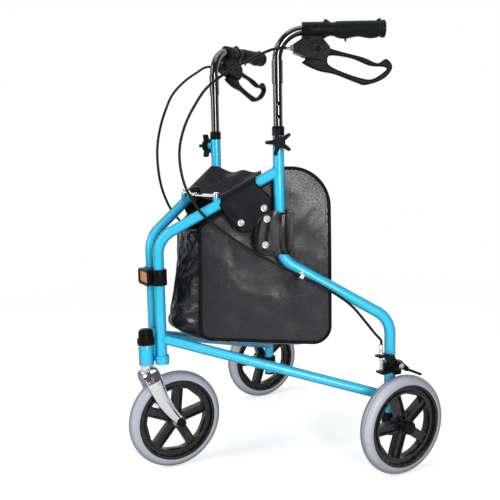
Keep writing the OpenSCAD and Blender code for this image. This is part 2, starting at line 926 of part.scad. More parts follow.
// Left rear brake, placed from the rear post: X outboard, Y to the rear
brake_ring_r = 14.5;
brake_ring_h = 17;
brake_ring_z = wheel_d + 1;
brake_strap_z = wheel_d - 5;
ear_z = wheel_d + ear_up;
ear_t = 4;
ear_w = 16;
wire_x = 6;
wire_y = -26;
wire_edge = 7;
tab_z = wheel_d + 2;
tab_t = 4;
tab_w = 13;
arm_x = 15.3;
arm_t = 4;
arm_pivot = [9, wheel_d + 13];
arm_pin_r = 3;
arm_head_r = 5.5;
arm_head_t = 3;
pivot_half = 8;
shoe_y = 28;
shoe_z = wheel_d + 2.6;
shoe_r = 2.5;
ferrule_nut_h = 5;
ferrule_nut_r = 4.4;
ferrule_tip_r = 3.2;
ferrule_top_z = ear_z + ear_t + 21;
brake_strap = [
  [wire_y + 9, ear_z + 0.5], [wire_y + 10, ear_z + ear_t], [wire_y + 22, ear_z + ear_t],
  [17, brake_strap_z + 12], [15, brake_strap_z], [0, brake_strap_z]];
module left_brake_bracket() {
  color(black)
    on_left_post() {
      difference() {
        union() {
          translate([0, 0, brake_ring_z])
            cylinder(h = brake_ring_h, r = brake_ring_r);
          translate([4, 0, 0])
            rotate([90, 0, 90])
              linear_extrude(height = arm_x - gap - 4)
                polygon(brake_strap);
          translate([wire_x - 10, wire_y - wire_edge, ear_z])
            cube([ear_w, 24, ear_t]);
          translate([4, arm_pivot[0] - pivot_half, arm_pivot[1] - pivot_half])
            cube([arm_x - gap - 4, 2 * pivot_half, 2 * pivot_half]);
          translate([0, arm_pivot[0], arm_pivot[1]])
            rod_x(8, arm_x + arm_t + gap, arm_pin_r);
          translate([0, arm_pivot[0], arm_pivot[1]])
            rod_x(arm_x + arm_t + gap, arm_x + arm_t + gap + arm_head_t, arm_head_r);
        }
        translate([0, 0, rear_post_z])
          cylinder(h = rear_corner_z - rear_post_z, r = rear_r);
      }
      translate([wire_x, wire_y, ear_z + ear_t]) {
        cylinder(h = ferrule_nut_h, r = ferrule_nut_r, $fn = 6);
        cylinder(h = ferrule_top_z - ear_z - ear_t, r = ferrule_tip_r);
      }
    }
}

arm_outline = [
  [wire_y - wire_edge, tab_z], [wire_y - wire_edge, tab_z + tab_t], [-6, tab_z + tab_t + 2],
  arm_pivot + [-7, 7], arm_pivot + [5, 8], [shoe_y + 3, shoe_z + 3.4], [shoe_y + 3, shoe_z - 2.6],
  [shoe_y - 2, shoe_z - 3.6], arm_pivot + [3, -7], arm_pivot + [-7, -10]];
module left_brake_arm() {
  color(black)
    on_left_post()
      difference() {
        union() {
          translate([arm_x, 0, 0])
            rotate([90, 0, 90])
              linear_extrude(height = arm_t)
                polygon(arm_outline);
          translate([wire_x - wire_edge, wire_y - wire_edge, tab_z])
            cube([arm_x + arm_t + wire_edge - wire_x, tab_w, tab_t]);
          translate([0, shoe_y, shoe_z])
            rod_x(arm_x, wheel_out + tyre_w / 2 + 5, shoe_r);
        }
        translate([0, arm_pivot[0], arm_pivot[1]])
          rod_x(arm_x - 1, arm_x + arm_t + 1, arm_pin_r + run);
      }
}

// Return spring between the arm's tab and the ear, one unbroken coil with a straight lead at each end
spring_low = tab_z + tab_t + gap;
spring_high = ear_z - gap;
rings_per_curl = 8;
spring_rise = spring_high - spring_low - 2 * spring_wire;
coil_r = (spring_d - spring_wire) / 2;
spring_pts = [for (i = [0:spring_curls * rings_per_curl])
  let (t = i / (spring_curls * rings_per_curl), a = 360 * spring_curls * t)
    [coil_r * cos(a), coil_r * sin(a), spring_low + spring_wire + spring_rise * t]];
spring_gap = min([for (i = [0:rings_per_curl]) for (j = [i + 6:i + 10])
  norm(spring_pts[j] - spring_pts[i])]) - spring_wire;
echo(spring_gap = spring_gap);
module left_brake_spring() {
  color(steel)
    on_left_post()
      translate([wire_x, wire_y, 0])
        skin(tube_rings(spring_pts, spring_wire / 2, 6, [1, 0, 0]));
}

// Brake cable: points [along the frame, inward, up] on the left side frame
cable_route = [
  [242.6, -10, 790], [240.5, -10, 790], [237.5, -10.7, 790.2], [228, -13.4, 789.5], [212, -13.8, 786], [186, -13, 775], [141, -13, 753],
  [101, -13, 725], [78, -13, 695], [59, -13, 660], [48, -13, 623], [47, -13, 588], [54, -13.5, 552],
  [67, -14.2, 524], [87, -14.4, 496], [125, -15, 463], [170, -15.5, 431], [225, -15.5, 400], [265, -15, 379],
  [300, -14.5, 361], [336, -14, 338], [360, -14, 318], [383, -15, 290], [400, -16.5, 268], [410, -17.4, 257],
  [412, -17.6, 252], [412, -17.6, 247.2]];
module left_brake_cable() {
  color(black)
    on_left_frame()
      skin(tube_rings(smooth(cable_route, 3), cable_d / 2, 8, [0, 1, 0]));
}

clip_s = 265;
clip_w = 7;
clip_t = 2.2;
clip_root_r = 4.5;
clip_cable = [clip_s, -15, 379];
clip_along = unit([75, 1, -39]);
module left_cable_clip() {
  axis = [clip_s, rear_slope_z(clip_s)];
  along = unit([1, -rear_drop]);
  color(white)
    on_left_frame()
      difference() {
        union() {
          strut(clip_cable - clip_along * clip_w / 2, clip_cable + clip_along * clip_w / 2, cable_d / 2 + clip_t);
          strut([axis[0], 0, axis[1]], clip_cable, clip_root_r);
        }
        bar(axis - along * 2 * clip_w, axis + along * 2 * clip_w, rear_r);
        strut(clip_cable - clip_along * 2 * clip_w, clip_cable + clip_along * 2 * clip_w, cable_d / 2 + 0.6);
      }
}

// Folding stay on top of the sloping tubes, its middle a little ahead of the pivots
stay_t = 3;
stay_z = stay_boss_z + gap;
stay_w = 12;
stay_mid = 9;
stay_x = half_gap + stay_s * sin(open_angle);
stay_y = hinge_y + stay_s * cos(open_angle);
mid_r = 8;
mid_h = 8;
joint_h = 12;
stay_lap = 1;
module stay_bar(z) {
  reach = norm([stay_x, stay_mid]);
  translate([stay_x, stay_y, z])
    rotate([0, 0, atan2(-stay_mid, -stay_x)])
      linear_extrude(height = stay_t)
        union() {
          circle(r = stay_w / 2);
          translate([0, -stay_w / 3])
            square([reach, stay_w * 2 / 3]);
          translate([reach, 0])
            circle(r = stay_w / 2);
        }
}
module stay_eye() {
  translate([stay_x, stay_y, stay_z - 1])
    cylinder(h = 2 * stay_t + gap + 2, r = stay_pin_r + run);
}
module left_stay_link() {
  color(chrome)
    on_ride() difference() {
      stay_bar(stay_z);
      stay_eye();
    }
}
module right_stay_link() {
  color(chrome)
    on_ride() right_side()
      difference() {
        union() {
          stay_bar(stay_z + stay_t + gap);
          translate([stay_x, stay_y, stay_z])
            cylinder(h = stay_t + gap + stay_lap, r = stay_boss_r - 0.5);
          translate([0, stay_y - stay_mid, stay_z + 2 * stay_t + gap - stay_lap])
            cylinder(h = mid_h + stay_lap, r = mid_r);
        }
        stay_eye();
      }
}
module stay_joint() {
  color(black)
    on_ride() translate([0, stay_y - stay_mid, stay_z - joint_h])
      cylinder(h = joint_h, r = mid_r);
}

// Bag: a side panel on each frame, one gusset strip between them and a lid over the sloping tubes
panel_y = 13.2;
bag_crown_z = 579;
bag_crown_r = 74;
bag_foot_r = 34;
bag_toe_r = 20;
function bag_outline(in) = concat(
  arc([bag_rear_s - bag_foot_r, bag_z + bag_foot_r], bag_foot_r - in, -90, 0, 8),
  arc([bag_rear_s - bag_crown_r, bag_crown_z - bag_crown_r], bag_crown_r - in, 0, 90, 10),
  [[upright_s, bag_crown_z - in], [upright_s - 16, slope_z(upright_s) - 18 - in],
   [bag_front_s + 14, slope_z(bag_front_s) - 12 - in], [bag_front_s + 4 + in, slope_z(bag_front_s) - 22]],
  arc([bag_front_s + bag_toe_r, bag_z + 12 + bag_toe_r], bag_toe_r - in, 180, 270, 6));
strap_r = 12.7;
strap_z = 430;
strap_h = 74;
strap_tail = 28;
tab_rise = [2, 10, 30, 66, 70];
module left_bag_panel() {
  color(black)
    on_left_frame() {
      plate(bag_outline(0), bag_t, panel_y + bag_t / 2);
      difference() {
        union() {
          translate([upright_s, 0, strap_z])
            cylinder(h = strap_h, r = strap_r);
          plate([
            [upright_s - 44, strap_z + tab_rise[2]], [upright_s - 46, strap_z + tab_rise[1]],
            [upright_s - 38, strap_z + tab_rise[0]], [upright_s, strap_z + tab_rise[0]],
            [upright_s, strap_z + tab_rise[4]], [upright_s - 30, strap_z + tab_rise[3]]], 2, -strap_r + 1.6);
          plate([
            [upright_s, strap_z], [upright_s + strap_tail, strap_z], [upright_s + strap_tail, strap_z + strap_h],
            [upright_s, strap_z + strap_h]], 3);
        }
        bent_bar(rear_path, bend_r, rear_r + gap);
      }
    }
}

// Space between the two panels
wedge_far = bag_rear_s + 60;
module bag_wedge() {
  inset = panel_y + bag_t + soft_gap;
  near_x = half_gap - inset / cos(open_angle);
  far_x = near_x + wedge_far * tan(open_angle);
  translate([0, hinge_y, 0])
    linear_extrude(height = bag_crown_z + 100)
      polygon([[-near_x, 0], [near_x, 0], [far_x, wedge_far], [-far_x, wedge_far]]);
}
// Outline of the bag seen from the side, swept across both panels
module bag_sweep(in) {
  c = cos(open_angle);
  shift = panel_y * sin(open_angle);
  translate([-wedge_far, hinge_y + shift, 0])
    rotate([90, 0, 90])
      linear_extrude(height = 2 * wedge_far)
        polygon([for (p = bag_outline(in)) [p[0] * c, p[1]]]);
}
module bag_gusset() {
  mouth_s = upright_s - 10;
  color(black)
    on_ride() intersection() {
      difference() {
        bag_sweep(0);
        bag_sweep(bag_t);
        translate([-wedge_far, hinge_y + (bag_front_s + 16) * cos(open_angle), slope_z(bag_front_s) - 60])
          cube([2 * wedge_far, (mouth_s - bag_front_s) * cos(open_angle), 300]);
      }
      bag_wedge();
    }
}

// Lid: a sheet over both sloping tubes with a flap down each side
lid_t = 2.4;
lid_from = 127;
lid_to = 192;
flap_drop = [[210, 42], [197, 60], [176, 72], [158, 70], [140, 48], [lid_from, 20]];
flap_y = front_r + 1.6;
lid_lift = front_r / cos(atan(slope_rise)) + 1.2;
function lid_corner(side, s, up) = [
  side * (half_gap + s * sin(open_angle) + (flap_y + lid_t / 2) * cos(open_angle)),
  hinge_y + s * cos(open_angle) - (flap_y + lid_t / 2) * sin(open_angle), slope_z(s) + lid_lift + up];
module bag_lid() {
  color(black) {
    on_ride() polyhedron(
      points = [for (up = [0, lid_t]) for (q = [[-1, lid_from], [1, lid_from], [1, lid_to], [-1, lid_to]])
        lid_corner(q[0], q[1], up)],
      faces = [[0, 1, 2, 3], [7, 6, 5, 4], [0, 4, 5, 1], [1, 5, 6, 2], [2, 6, 7, 3], [3, 7, 4, 0]]);
    for (flip = [0, 1])
      mirror([flip, 0, 0])
        on_left_frame()
          plate(concat(
            [[lid_from, slope_z(lid_from) + lid_lift + 1], [lid_to, slope_z(lid_to) + lid_lift + 1]],
            [for (q = flap_drop) [q[0], slope_z(q[0]) - q[1]]]),
            lid_t, -flap_y - lid_t / 2);
  }
}

// Right side, the mirror of the left
module right_front_tube() {
  right_side()
    left_front_tube();
}
module right_rear_tube() {
  right_side()
    left_rear_tube();
}
module right_lower_tube() {
  right_side()
    left_lower_tube();
}
module right_tube_collar() {
  right_side()
    left_tube_collar();
}
module right_axle_bracket() {
  right_side()
    left_axle_bracket();
}
module right_axle() {
  right_side()
    left_axle();
}
module right_tyre() {
  right_side()
    left_tyre();
}
module right_rim() {
  right_side()
    left_rim();
}
module right_wheel_bearings() {
  right_side()
    left_wheel_bearings();
}
module right_hub_cap() {
  right_side()
    left_hub_cap();
}
module right_handle_tube() {
  right_side()
    left_handle_tube();
}
module right_grip() {
  right_side()
    left_grip();
}
module right_brake_housing() {
  right_side()
    left_brake_housing();
}
module right_barrel_adjuster() {
  right_side()
    left_barrel_adjuster();
}
module right_brake_lever() {
  right_side()
    left_brake_lever();
}
module right_knob() {
  right_side()
    left_knob();
}
module right_brake_bracket() {
  right_side()
    left_brake_bracket();
}
module right_brake_arm() {
  right_side()
    left_brake_arm();
}
module right_brake_spring() {
  right_side()
    left_brake_spring();
}
module right_brake_cable() {
  right_side()
    left_brake_cable();
}
module right_cable_clip() {
  right_side()
    left_cable_clip();
}
module right_bag_panel() {
  right_side()
    left_bag_panel();
}

head_tube();
head_cap();
head_bearings();
hinge_block();
reflector();
fork();
stem_nut();
fork_axle();
front_tyre();
front_rim();
front_bearings();
left_front_tube();
left_rear_tube();
left_lower_tube();
left_tube_collar();
left_axle_bracket();
left_axle();
left_tyre();
left_rim();
left_wheel_bearings();
left_hub_cap();
left_handle_tube();
left_grip();
left_brake_housing();
left_barrel_adjuster();
left_brake_lever();
left_knob();
left_brake_bracket();
left_brake_arm();
left_brake_spring();
left_brake_cable();
left_cable_clip();
left_bag_panel();
left_stay_link();
right_front_tube();
right_rear_tube();
right_lower_tube();
right_tube_collar();
right_axle_bracket();
right_axle();
right_tyre();
right_rim();
right_wheel_bearings();
right_hub_cap();
right_handle_tube();
right_grip();
right_brake_housing();
right_barrel_adjuster();
right_brake_lever();
right_knob();
right_brake_bracket();
right_brake_arm();
right_brake_spring();
right_brake_cable();
right_cable_clip();
right_bag_panel();
right_stay_link();
stay_joint();
bag_gusset();
bag_lid();
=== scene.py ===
"""Looks of a folding three wheel rollator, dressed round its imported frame."""

from __future__ import annotations

import json
import logging
import math
from dataclasses import dataclass
from enum import Enum
from typing import Callable, Iterable, Sequence

import bmesh
import bpy
import numpy as np
from mathutils import Matrix, Vector
from mathutils.geometry import delaunay_2d_cdt

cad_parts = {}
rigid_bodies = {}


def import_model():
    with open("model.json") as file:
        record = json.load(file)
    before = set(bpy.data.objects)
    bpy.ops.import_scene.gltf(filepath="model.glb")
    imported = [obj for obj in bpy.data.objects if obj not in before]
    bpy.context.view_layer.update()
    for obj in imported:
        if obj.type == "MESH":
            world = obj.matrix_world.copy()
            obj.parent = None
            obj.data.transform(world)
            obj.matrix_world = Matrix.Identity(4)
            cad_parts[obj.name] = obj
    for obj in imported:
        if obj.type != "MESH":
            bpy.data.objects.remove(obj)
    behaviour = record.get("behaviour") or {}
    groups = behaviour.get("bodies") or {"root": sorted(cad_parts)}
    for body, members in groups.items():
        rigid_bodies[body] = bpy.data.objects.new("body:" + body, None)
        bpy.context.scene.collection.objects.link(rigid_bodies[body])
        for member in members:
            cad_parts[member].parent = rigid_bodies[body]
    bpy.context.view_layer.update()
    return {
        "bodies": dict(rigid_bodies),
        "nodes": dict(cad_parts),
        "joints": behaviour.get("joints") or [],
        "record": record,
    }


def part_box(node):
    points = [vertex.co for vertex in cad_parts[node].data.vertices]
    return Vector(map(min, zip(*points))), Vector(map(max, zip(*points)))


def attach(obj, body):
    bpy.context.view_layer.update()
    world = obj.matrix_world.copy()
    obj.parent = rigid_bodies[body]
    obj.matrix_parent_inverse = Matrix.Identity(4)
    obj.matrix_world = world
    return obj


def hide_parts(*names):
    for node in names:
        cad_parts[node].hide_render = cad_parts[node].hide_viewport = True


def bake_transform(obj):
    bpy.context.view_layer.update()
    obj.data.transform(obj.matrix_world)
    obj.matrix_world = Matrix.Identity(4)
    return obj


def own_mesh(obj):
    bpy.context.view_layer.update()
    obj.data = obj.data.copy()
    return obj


LOG = logging.getLogger("rollator")
MM = 0.001
# Middle of the upright, ends of the sloping tube and middle of the stay, in millimetres
UPRIGHT_S = 226.0
SLOPE_FOOT_Z = 452.0
SLOPE_HEAD_Z = 574.0
STAY_MIDDLE_Y = -117.49
Piece = bpy.types.Object
Socket = bpy.types.NodeSocket
Colour = tuple[float, float, float]
Point = tuple[float, float, float]
Pair = tuple[float, float]
Loop = Sequence[Pair]
WHITE = (1, 1, 1, 1)


def slope_z(s: float) -> float:
    """Height of the sloping tube's middle at a distance along the frame."""
    return SLOPE_FOOT_Z + s * (SLOPE_HEAD_Z - SLOPE_FOOT_Z) / UPRIGHT_S


def share(value: float | np.ndarray, start: float, end: float) -> float | np.ndarray:
    """Share of the way from start to end that a value has gone, held between 0 and 1."""
    return np.clip((value - start) / (end - start), 0, 1)


class Side(Enum):
    """Side of the rollator, as its user sees it; the value is the sign of X."""

    LEFT = 1
    RIGHT = -1

    @property
    def word(self) -> str:
        """Word that starts the names of this side's pieces."""
        return self.name.lower()


@dataclass(frozen=True)
class SidePlane:
    """Plane of one side frame: s runs along it to the rear, y points inward, z up."""

    side: Side
    half_gap: float = 19.5
    hinge_y: float = -205.254
    angle: float = 28.4

    @property
    def word(self) -> str:
        """Word that starts the names of this side's pieces."""
        return self.side.word

    @property
    def near(self) -> bool:
        """Whether this is the side nearer to the camera."""
        return self.side is Side.LEFT

    @property
    def turn(self) -> Pair:
        """Cosine and sine of the frame's angle to the middle plane."""
        return math.cos(math.radians(self.angle)), math.sin(math.radians(self.angle))

    def point(self, s: float, y: float, z: float) -> Vector:
        """Place of a point given in millimetres on the side frame.

        Args:
            s: distance along the frame from the front post.
            y: distance inward of the tubes' middle.
            z: height.

        Returns:
            The point in metres.
        """
        c, n = self.turn
        x = self.half_gap + s * n - y * c
        return Vector((self.side.value * x, self.hinge_y + s * c + y * n, z)) * MM

    def matrix(self) -> Matrix:
        """Place of the side frame, mirrored on the right.

        Returns:
            Matrix from (s, y, z) in metres to the part's frame.
        """
        o = self.point(0, 0, 0)
        axes = [self.point(*axis) - o for axis in ((1000, 0, 0), (0, 1000, 0), (0, 0, 1000))]
        made = Matrix(axes).transposed().to_4x4()
        made.translation = o
        return made


class Nodes:
    """Short way to add and join the shader nodes of one tree."""

    def __init__(self, tree: bpy.types.NodeTree) -> None:
        """Keep the tree that the nodes go into."""
        self.tree = tree

    @classmethod
    def fresh(cls, owner: bpy.types.Material | bpy.types.World) -> Nodes:
        """Empty the node tree of a material or world.

        Args:
            owner: the material or world.

        Returns:
            The helper for its tree.
        """
        owner.use_nodes = True
        owner.node_tree.nodes.clear()
        return cls(owner.node_tree)

    def add(self, kind: str, **values: object) -> bpy.types.Node:
        """Add a node and set its options, then its sockets.

        Args:
            kind: node type without the ShaderNode prefix.
            **values: option names, or socket names with _ for a space; a socket given as
                value is linked.

        Returns:
            The new node.
        """
        node = self.tree.nodes.new("ShaderNode" + kind)
        for key, value in values.items():
            if hasattr(node, key):
                setattr(node, key, value)
        for key, value in values.items():
            if not hasattr(node, key):
                self.set(node, key.replace("_", " "), value)
        return node

    def set(self, node: bpy.types.Node, name: str, value: object) -> None:
        """Link or set one input socket.

        Args:
            node: the node.
            name: name of the socket, or its number as in0 or in1.
            value: value to set, or the socket that is linked.
        """
        if name.startswith("in") and name[2:].isdigit():
            socket = node.inputs[int(name[2:])]
        else:
            socket = next(s for s in node.inputs if s.name.lower() == name.lower())
        if isinstance(value, Socket):
            self.tree.links.new(value, socket)
        else:
            socket.default_value = value

    def math(self, operation: str, a: object, b: object = 0.5, clamp: bool = False) -> Socket:
        """Add a math node and give its result socket."""
        return self.add("Math", operation=operation, in0=a, in1=b, use_clamp=clamp).outputs[0]

    def times(self, a: object, b: object, clamp: bool = False) -> Socket:
        """Product of two values."""
        return self.math("MULTIPLY", a, b, clamp)

    def plus(self, a: object, b: object, clamp: bool = False) -> Socket:
        """Sum of two values."""
        return self.math("ADD", a, b, clamp)

    def ramp(self, value: object, low: object, high: object, to: Pair = (0, 1)) -> Socket:
        """Map a value smoothly from low..high to the range in to."""
        return self.add("MapRange", interpolation_type="SMOOTHSTEP", Value=value, From_Min=low,
                        From_Max=high, To_Min=to[0], To_Max=to[1]).outputs[0]

    def blend(self, factor: object, a: object, b: object) -> Socket:
        """Value between a and b by a factor."""
        return self.plus(self.times(factor, b), self.times(self.math("SUBTRACT", 1.0, factor), a))

    def mix(self, factor: object, a: object, b: object) -> Socket:
        """Mix two colours.

        Args:
            factor: share of the second colour.
            a: first colour.
            b: second colour.

        Returns:
            The result socket.
        """
        node = self.add("Mix", data_type="RGBA")
        for index, value in ((0, factor), (6, a), (7, b)):
            flat = index == 0 or isinstance(value, Socket)
            self.set(node, f"in{index}", value if flat else (*value[:3], 1))
        return node.outputs[2]


class Effect(Enum):
    """Surface effects that several finishes share, each a node group built once."""

    MOTTLE = "Mottle"
    GRAIN = "Grain"
    HIDE = "Hide"
    RUB = "Rub"
    DUST = "Dust"


class EffectNodes(Nodes):
    """Nodes of one shared effect, with a method that lays out each of them."""

    def __init__(self, tree: bpy.types.NodeTree) -> None:
        """Keep the tree, its inputs and the place on the surface."""
        super().__init__(tree)
        self.given = tree.nodes.new("NodeGroupInput").outputs
        self.where = self.add("TexCoord").outputs["Object"]

    def noise(self, scale: object, detail: float, **more: object) -> bpy.types.Node:
        """Add a noise texture."""
        return self.add("TexNoise", Vector=self.where, Scale=scale, Detail=detail, **more)

    def mottle(self) -> Sequence[Socket]:
        """Slow drift of colour and gloss over a surface.

        Returns:
            Colour and roughness.
        """
        spots = self.noise(self.given["Scale"], 5.0, Roughness=0.6)
        drift = self.math("SUBTRACT", spots.outputs[0], 0.5)
        amount = self.given["Amount"]
        gain = self.plus(1.0, self.times(drift, self.times(amount, 2.0)))
        tint = self.add("VectorMath", operation="SCALE", in0=self.given["Color"], Scale=gain)
        return tint.outputs[0], self.plus(self.given["Roughness"], self.times(drift, amount), True)

    def grain(self) -> Sequence[Socket]:
        """Fine even grain of a moulded or powder coated surface.

        Returns:
            Height.
        """
        fine = self.noise(self.given["Scale"], 2.0, Roughness=0.5)
        cells = self.add("TexVoronoi", Vector=self.where, Scale=self.given["Scale"])
        return (self.plus(self.times(fine.outputs[0], 0.6), self.times(cells.outputs[0], 0.5)),)

    def hide(self) -> Sequence[Socket]:
        """Pebbled grain and soft creases of coated bag cloth.

        Returns:
            Height, and a mask of the valleys between the pebbles.
        """
        warp = self.noise(45.0, 3.0)
        bent = self.add("VectorMath", operation="MULTIPLY_ADD", in0=warp.outputs["Color"],
                        in1=(0.004, 0.004, 0.004), in2=self.where).outputs[0]
        pebble = self.add("TexVoronoi", feature="DISTANCE_TO_EDGE", Vector=bent,
                          Scale=self.given["Scale"])
        bump = self.ramp(pebble.outputs[0], 0.0, 0.18)
        slow = self.noise(16.0, 3.0, noise_type="RIDGED_MULTIFRACTAL")
        fold = self.times(self.ramp(slow.outputs[0], 0.5, 1.6), self.given["Crease"])
        return self.plus(self.times(bump, 0.22), fold), self.math("SUBTRACT", 1.0, bump)

    def rub(self) -> Sequence[Socket]:
        """Edges and corners where the surface has been rubbed.

        Returns:
            Mask.
        """
        edge = self.ramp(self.add("NewGeometry").outputs["Pointiness"], 0.53, 0.62)
        patch = self.ramp(self.noise(160.0, 6.0).outputs[0], 0.42, 0.62)
        return (self.times(self.times(edge, patch), self.given["Amount"], True),)

    def dust(self) -> Sequence[Socket]:
        """Thin dust that settles low down.

        Returns:
            Mask.
        """
        height = self.add("SeparateXYZ", Vector=self.where).outputs[2]
        low = self.ramp(height, 0.0, self.given["Top"], (1.0, 0.0))
        patch = self.ramp(self.noise(120.0, 6.0).outputs[0], 0.4, 0.75)
        return (self.times(low, patch, True),)


@dataclass(frozen=True)
class EffectPlan:
    """Layout, outputs and inputs of a shared effect, the inputs with their plain values."""

    layout: Callable[[EffectNodes], Sequence[Socket]]
    outputs: tuple[str, ...]
    inputs: dict[str, object]

    def build(self, name: str) -> bpy.types.NodeTree:
        """Build the effect's node group.

        Args:
            name: name of the group.

        Returns:
            The group.
        """
        tree = bpy.data.node_groups.new(name, "ShaderNodeTree")
        for way, labels in (("INPUT", self.inputs), ("OUTPUT", self.outputs)):
            for label in labels:
                kind = "NodeSocketColor" if label == "Color" else "NodeSocketFloat"
                socket = tree.interface.new_socket(label, in_out=way, socket_type=kind)
                if way == "INPUT":
                    socket.default_value = self.inputs[label]
        made = self.layout(EffectNodes(tree))
        for socket, end in zip(made, tree.nodes.new("NodeGroupOutput").inputs):
            tree.links.new(socket, end)
        return tree


class EffectShelf:
    """Builds each shared node group the first time that a finish asks for it."""

    plans: dict[Effect, EffectPlan] = {
        Effect.MOTTLE: EffectPlan(EffectNodes.mottle, ("Color", "Roughness"), {
            "Color": (0.5, 0.5, 0.5, 1), "Scale": 20.0, "Amount": 0.2, "Roughness": 0.4}),
        Effect.GRAIN: EffectPlan(EffectNodes.grain, ("Height",), {"Scale": 900.0}),
        Effect.HIDE: EffectPlan(EffectNodes.hide, ("Height", "Valley"), {
            "Scale": 700.0, "Crease": 0.4}),
        Effect.RUB: EffectPlan(EffectNodes.rub, ("Mask",), {"Amount": 0.5}),
        Effect.DUST: EffectPlan(EffectNodes.dust, ("Mask",), {"Top": 0.12}),
    }

    def __init__(self) -> None:
        """Start with no group built."""
        self.built: dict[Effect, bpy.types.NodeTree] = {}

    def get(self, effect: Effect) -> bpy.types.NodeTree:
        """Give the node group of an effect, built on first use.

        Args:
            effect: the effect.

        Returns:
            Its group.
        """
        if effect not in self.built:
            self.built[effect] = self.plans[effect].build(effect.value)
        return self.built[effect]


SHELF = EffectShelf()


@dataclass(frozen=True)
class Finish:
    """A surface: colour, gloss, grain and wear of one material of the rollator.

    The slot names the finish's slot in the record, where that isn't its own name; not used.
    """

    name: str
    colour: Colour
    roughness: float = 0.4
    metallic: float = 0.0
    coat: float = 0.0
    drift: float = 0.12
    drift_scale: float = 18.0
    grain: float = 0.0
    grain_scale: float = 900.0
    rub: float = 0.0
    rub_colour: Colour = (0.3, 0.3, 0.3)
    dust: float = 0.0
    dust_colour: Colour = (0.36, 0.35, 0.33)
    specular: float = 0.5
    slot: str = ""

    @property
    def title(self) -> str:
        """Name of the material, apart from the plain one that the part brings along."""
        return self.name + "_finish"

    def material(self) -> bpy.types.Material:
        """Give the material of this finish, built on first use."""
        return bpy.data.materials.get(self.title) or self.build()

    def build(self) -> bpy.types.Material:
        """Build the material's nodes.

        Returns:
            The material.
        """
        mat = bpy.data.materials.new(self.title)
        n = Nodes.fresh(mat)
        shader = n.add("BsdfPrincipled", Metallic=self.metallic, Coat_Weight=self.coat,
                       Coat_Roughness=0.06, Specular_IOR_Level=self.specular)
        out = n.add("OutputMaterial", Surface=shader.outputs[0])
        for name, socket in zip(("Base Color", "Roughness"), self.paint(n)):
            n.set(shader, name, socket)
        height = self.relief(n)
        if height is not None:
            bump = n.add("Bump", Strength=self.grain, Distance=0.0006, Height=height)
            n.set(shader, "Normal", bump.outputs[0])
        out.is_active_output = True
        mat.diffuse_color = (*self.colour, 1)
        return mat

    def group(self, n: Nodes, effect: Effect, **values: object) -> Sequence[Socket]:
        """Place a shared effect in the material with its own values.

        Args:
            n: nodes of the material.
            effect: the shared effect.
            **values: values of its inputs.

        Returns:
            Its outputs.
        """
        node = n.tree.nodes.new("ShaderNodeGroup")
        node.node_tree = SHELF.get(effect)
        for key, value in values.items():
            n.set(node, key, value)
        return node.outputs

    def paint(self, n: Nodes) -> tuple[Socket, Socket]:
        """Colour and roughness of the surface, with wear and dust laid over.

        Args:
            n: nodes of the material.

        Returns:
            Colour and roughness sockets.
        """
        base = self.group(n, Effect.MOTTLE, Color=(*self.colour, 1), Scale=self.drift_scale,
                          Amount=self.drift, Roughness=self.roughness)
        colour, rough = base[0], base[1]
        if self.rub:
            mask = self.group(n, Effect.RUB, Amount=self.rub)[0]
            colour = n.mix(mask, colour, self.rub_colour)
        if self.dust:
            mask = n.times(self.group(n, Effect.DUST)[0], self.dust)
            colour = n.mix(mask, colour, self.dust_colour)
            rough = n.plus(rough, n.times(mask, 0.4), True)
        return colour, rough

    def relief(self, n: Nodes) -> Socket | None:
        """Height socket of the surface's grain, or nothing where it is smooth."""
        return self.group(n, Effect.GRAIN, Scale=self.grain_scale)[0] if self.grain else None


@dataclass(frozen=True)
class FlopFinish(Finish):
    """Finish with painted shade: darker colour where the surface turns away from the camera."""

    edge_colour: Colour = (0.1, 0.1, 0.1)
    flop: float = 0.8
    span: Pair = (0.05, 0.6)

    def paint(self, n: Nodes) -> tuple[Socket, Socket]:
        """Colour and roughness, with painted shade towards the edges that turn away.

        Args:
            n: nodes of the material.

        Returns:
            Colour and roughness sockets.
        """
        colour, rough = super().paint(n)
        # painted shade: the colour darkens towards the edges that turn away from the camera
        away = n.ramp(n.add("LayerWeight", Blend=0.5).outputs["Facing"], *self.span)
        return n.mix(n.times(away, self.flop), colour, self.edge_colour), rough


@dataclass(frozen=True)
class VinylFinish(Finish):
    """Coated cloth of the bag, with pebbled grain and soft creases."""

    drift: float = 0.2
    drift_scale: float = 12
    grain: float = 0.4
    grain_scale: float = 620
    slot: str = "bag_vinyl"
    crease: float = 0.9
    valley_colour: Colour = (0.004, 0.004, 0.005)

    def hide(self, n: Nodes) -> Sequence[Socket]:
        """Place the cloth's grain and give its height and valleys."""
        return self.group(n, Effect.HIDE, Scale=self.grain_scale, Crease=self.crease)

    def paint(self, n: Nodes) -> tuple[Socket, Socket]:
        """Colour with painted shade in the grain's valleys, and roughness that rises there.

        Args:
            n: nodes of the material.

        Returns:
            Colour and roughness sockets.
        """
        colour, rough = super().paint(n)
        valley = self.hide(n)[1]
        # painted shade: the grain's valleys are darkened
        colour = n.mix(n.times(valley, 0.5), colour, self.valley_colour)
        return colour, n.plus(rough, n.times(valley, 0.2), True)

    def relief(self, n: Nodes) -> Socket | None:
        """Height of pebbles and creases."""
        return self.hide(n)[0]


@dataclass(frozen=True)
class PrismFinish(Finish):
    """Reflector plastic with rows of small prisms under a clear face."""

    pitch: float = 0.0032
    facet_colour: Colour = (0.66, 0.27, 0.05)

    def prisms(self, n: Nodes) -> Socket:
        """Distance from the middle of each prism."""
        return n.add("TexVoronoi", distance="CHEBYCHEV", Vector=n.add("TexCoord").outputs["Object"],
                     Scale=1 / self.pitch, Randomness=0.0).outputs[0]

    def paint(self, n: Nodes) -> tuple[Socket, Socket]:
        """Amber with a painted glint that lightens the middle of each prism's facet."""
        colour, rough = super().paint(n)
        # painted glint: each prism's middle is lighter amber
        return n.mix(n.ramp(self.prisms(n), 0.1, 0.6), self.facet_colour, colour), rough

    def relief(self, n: Nodes) -> Socket | None:
        """Height of the prisms."""
        return self.prisms(n)


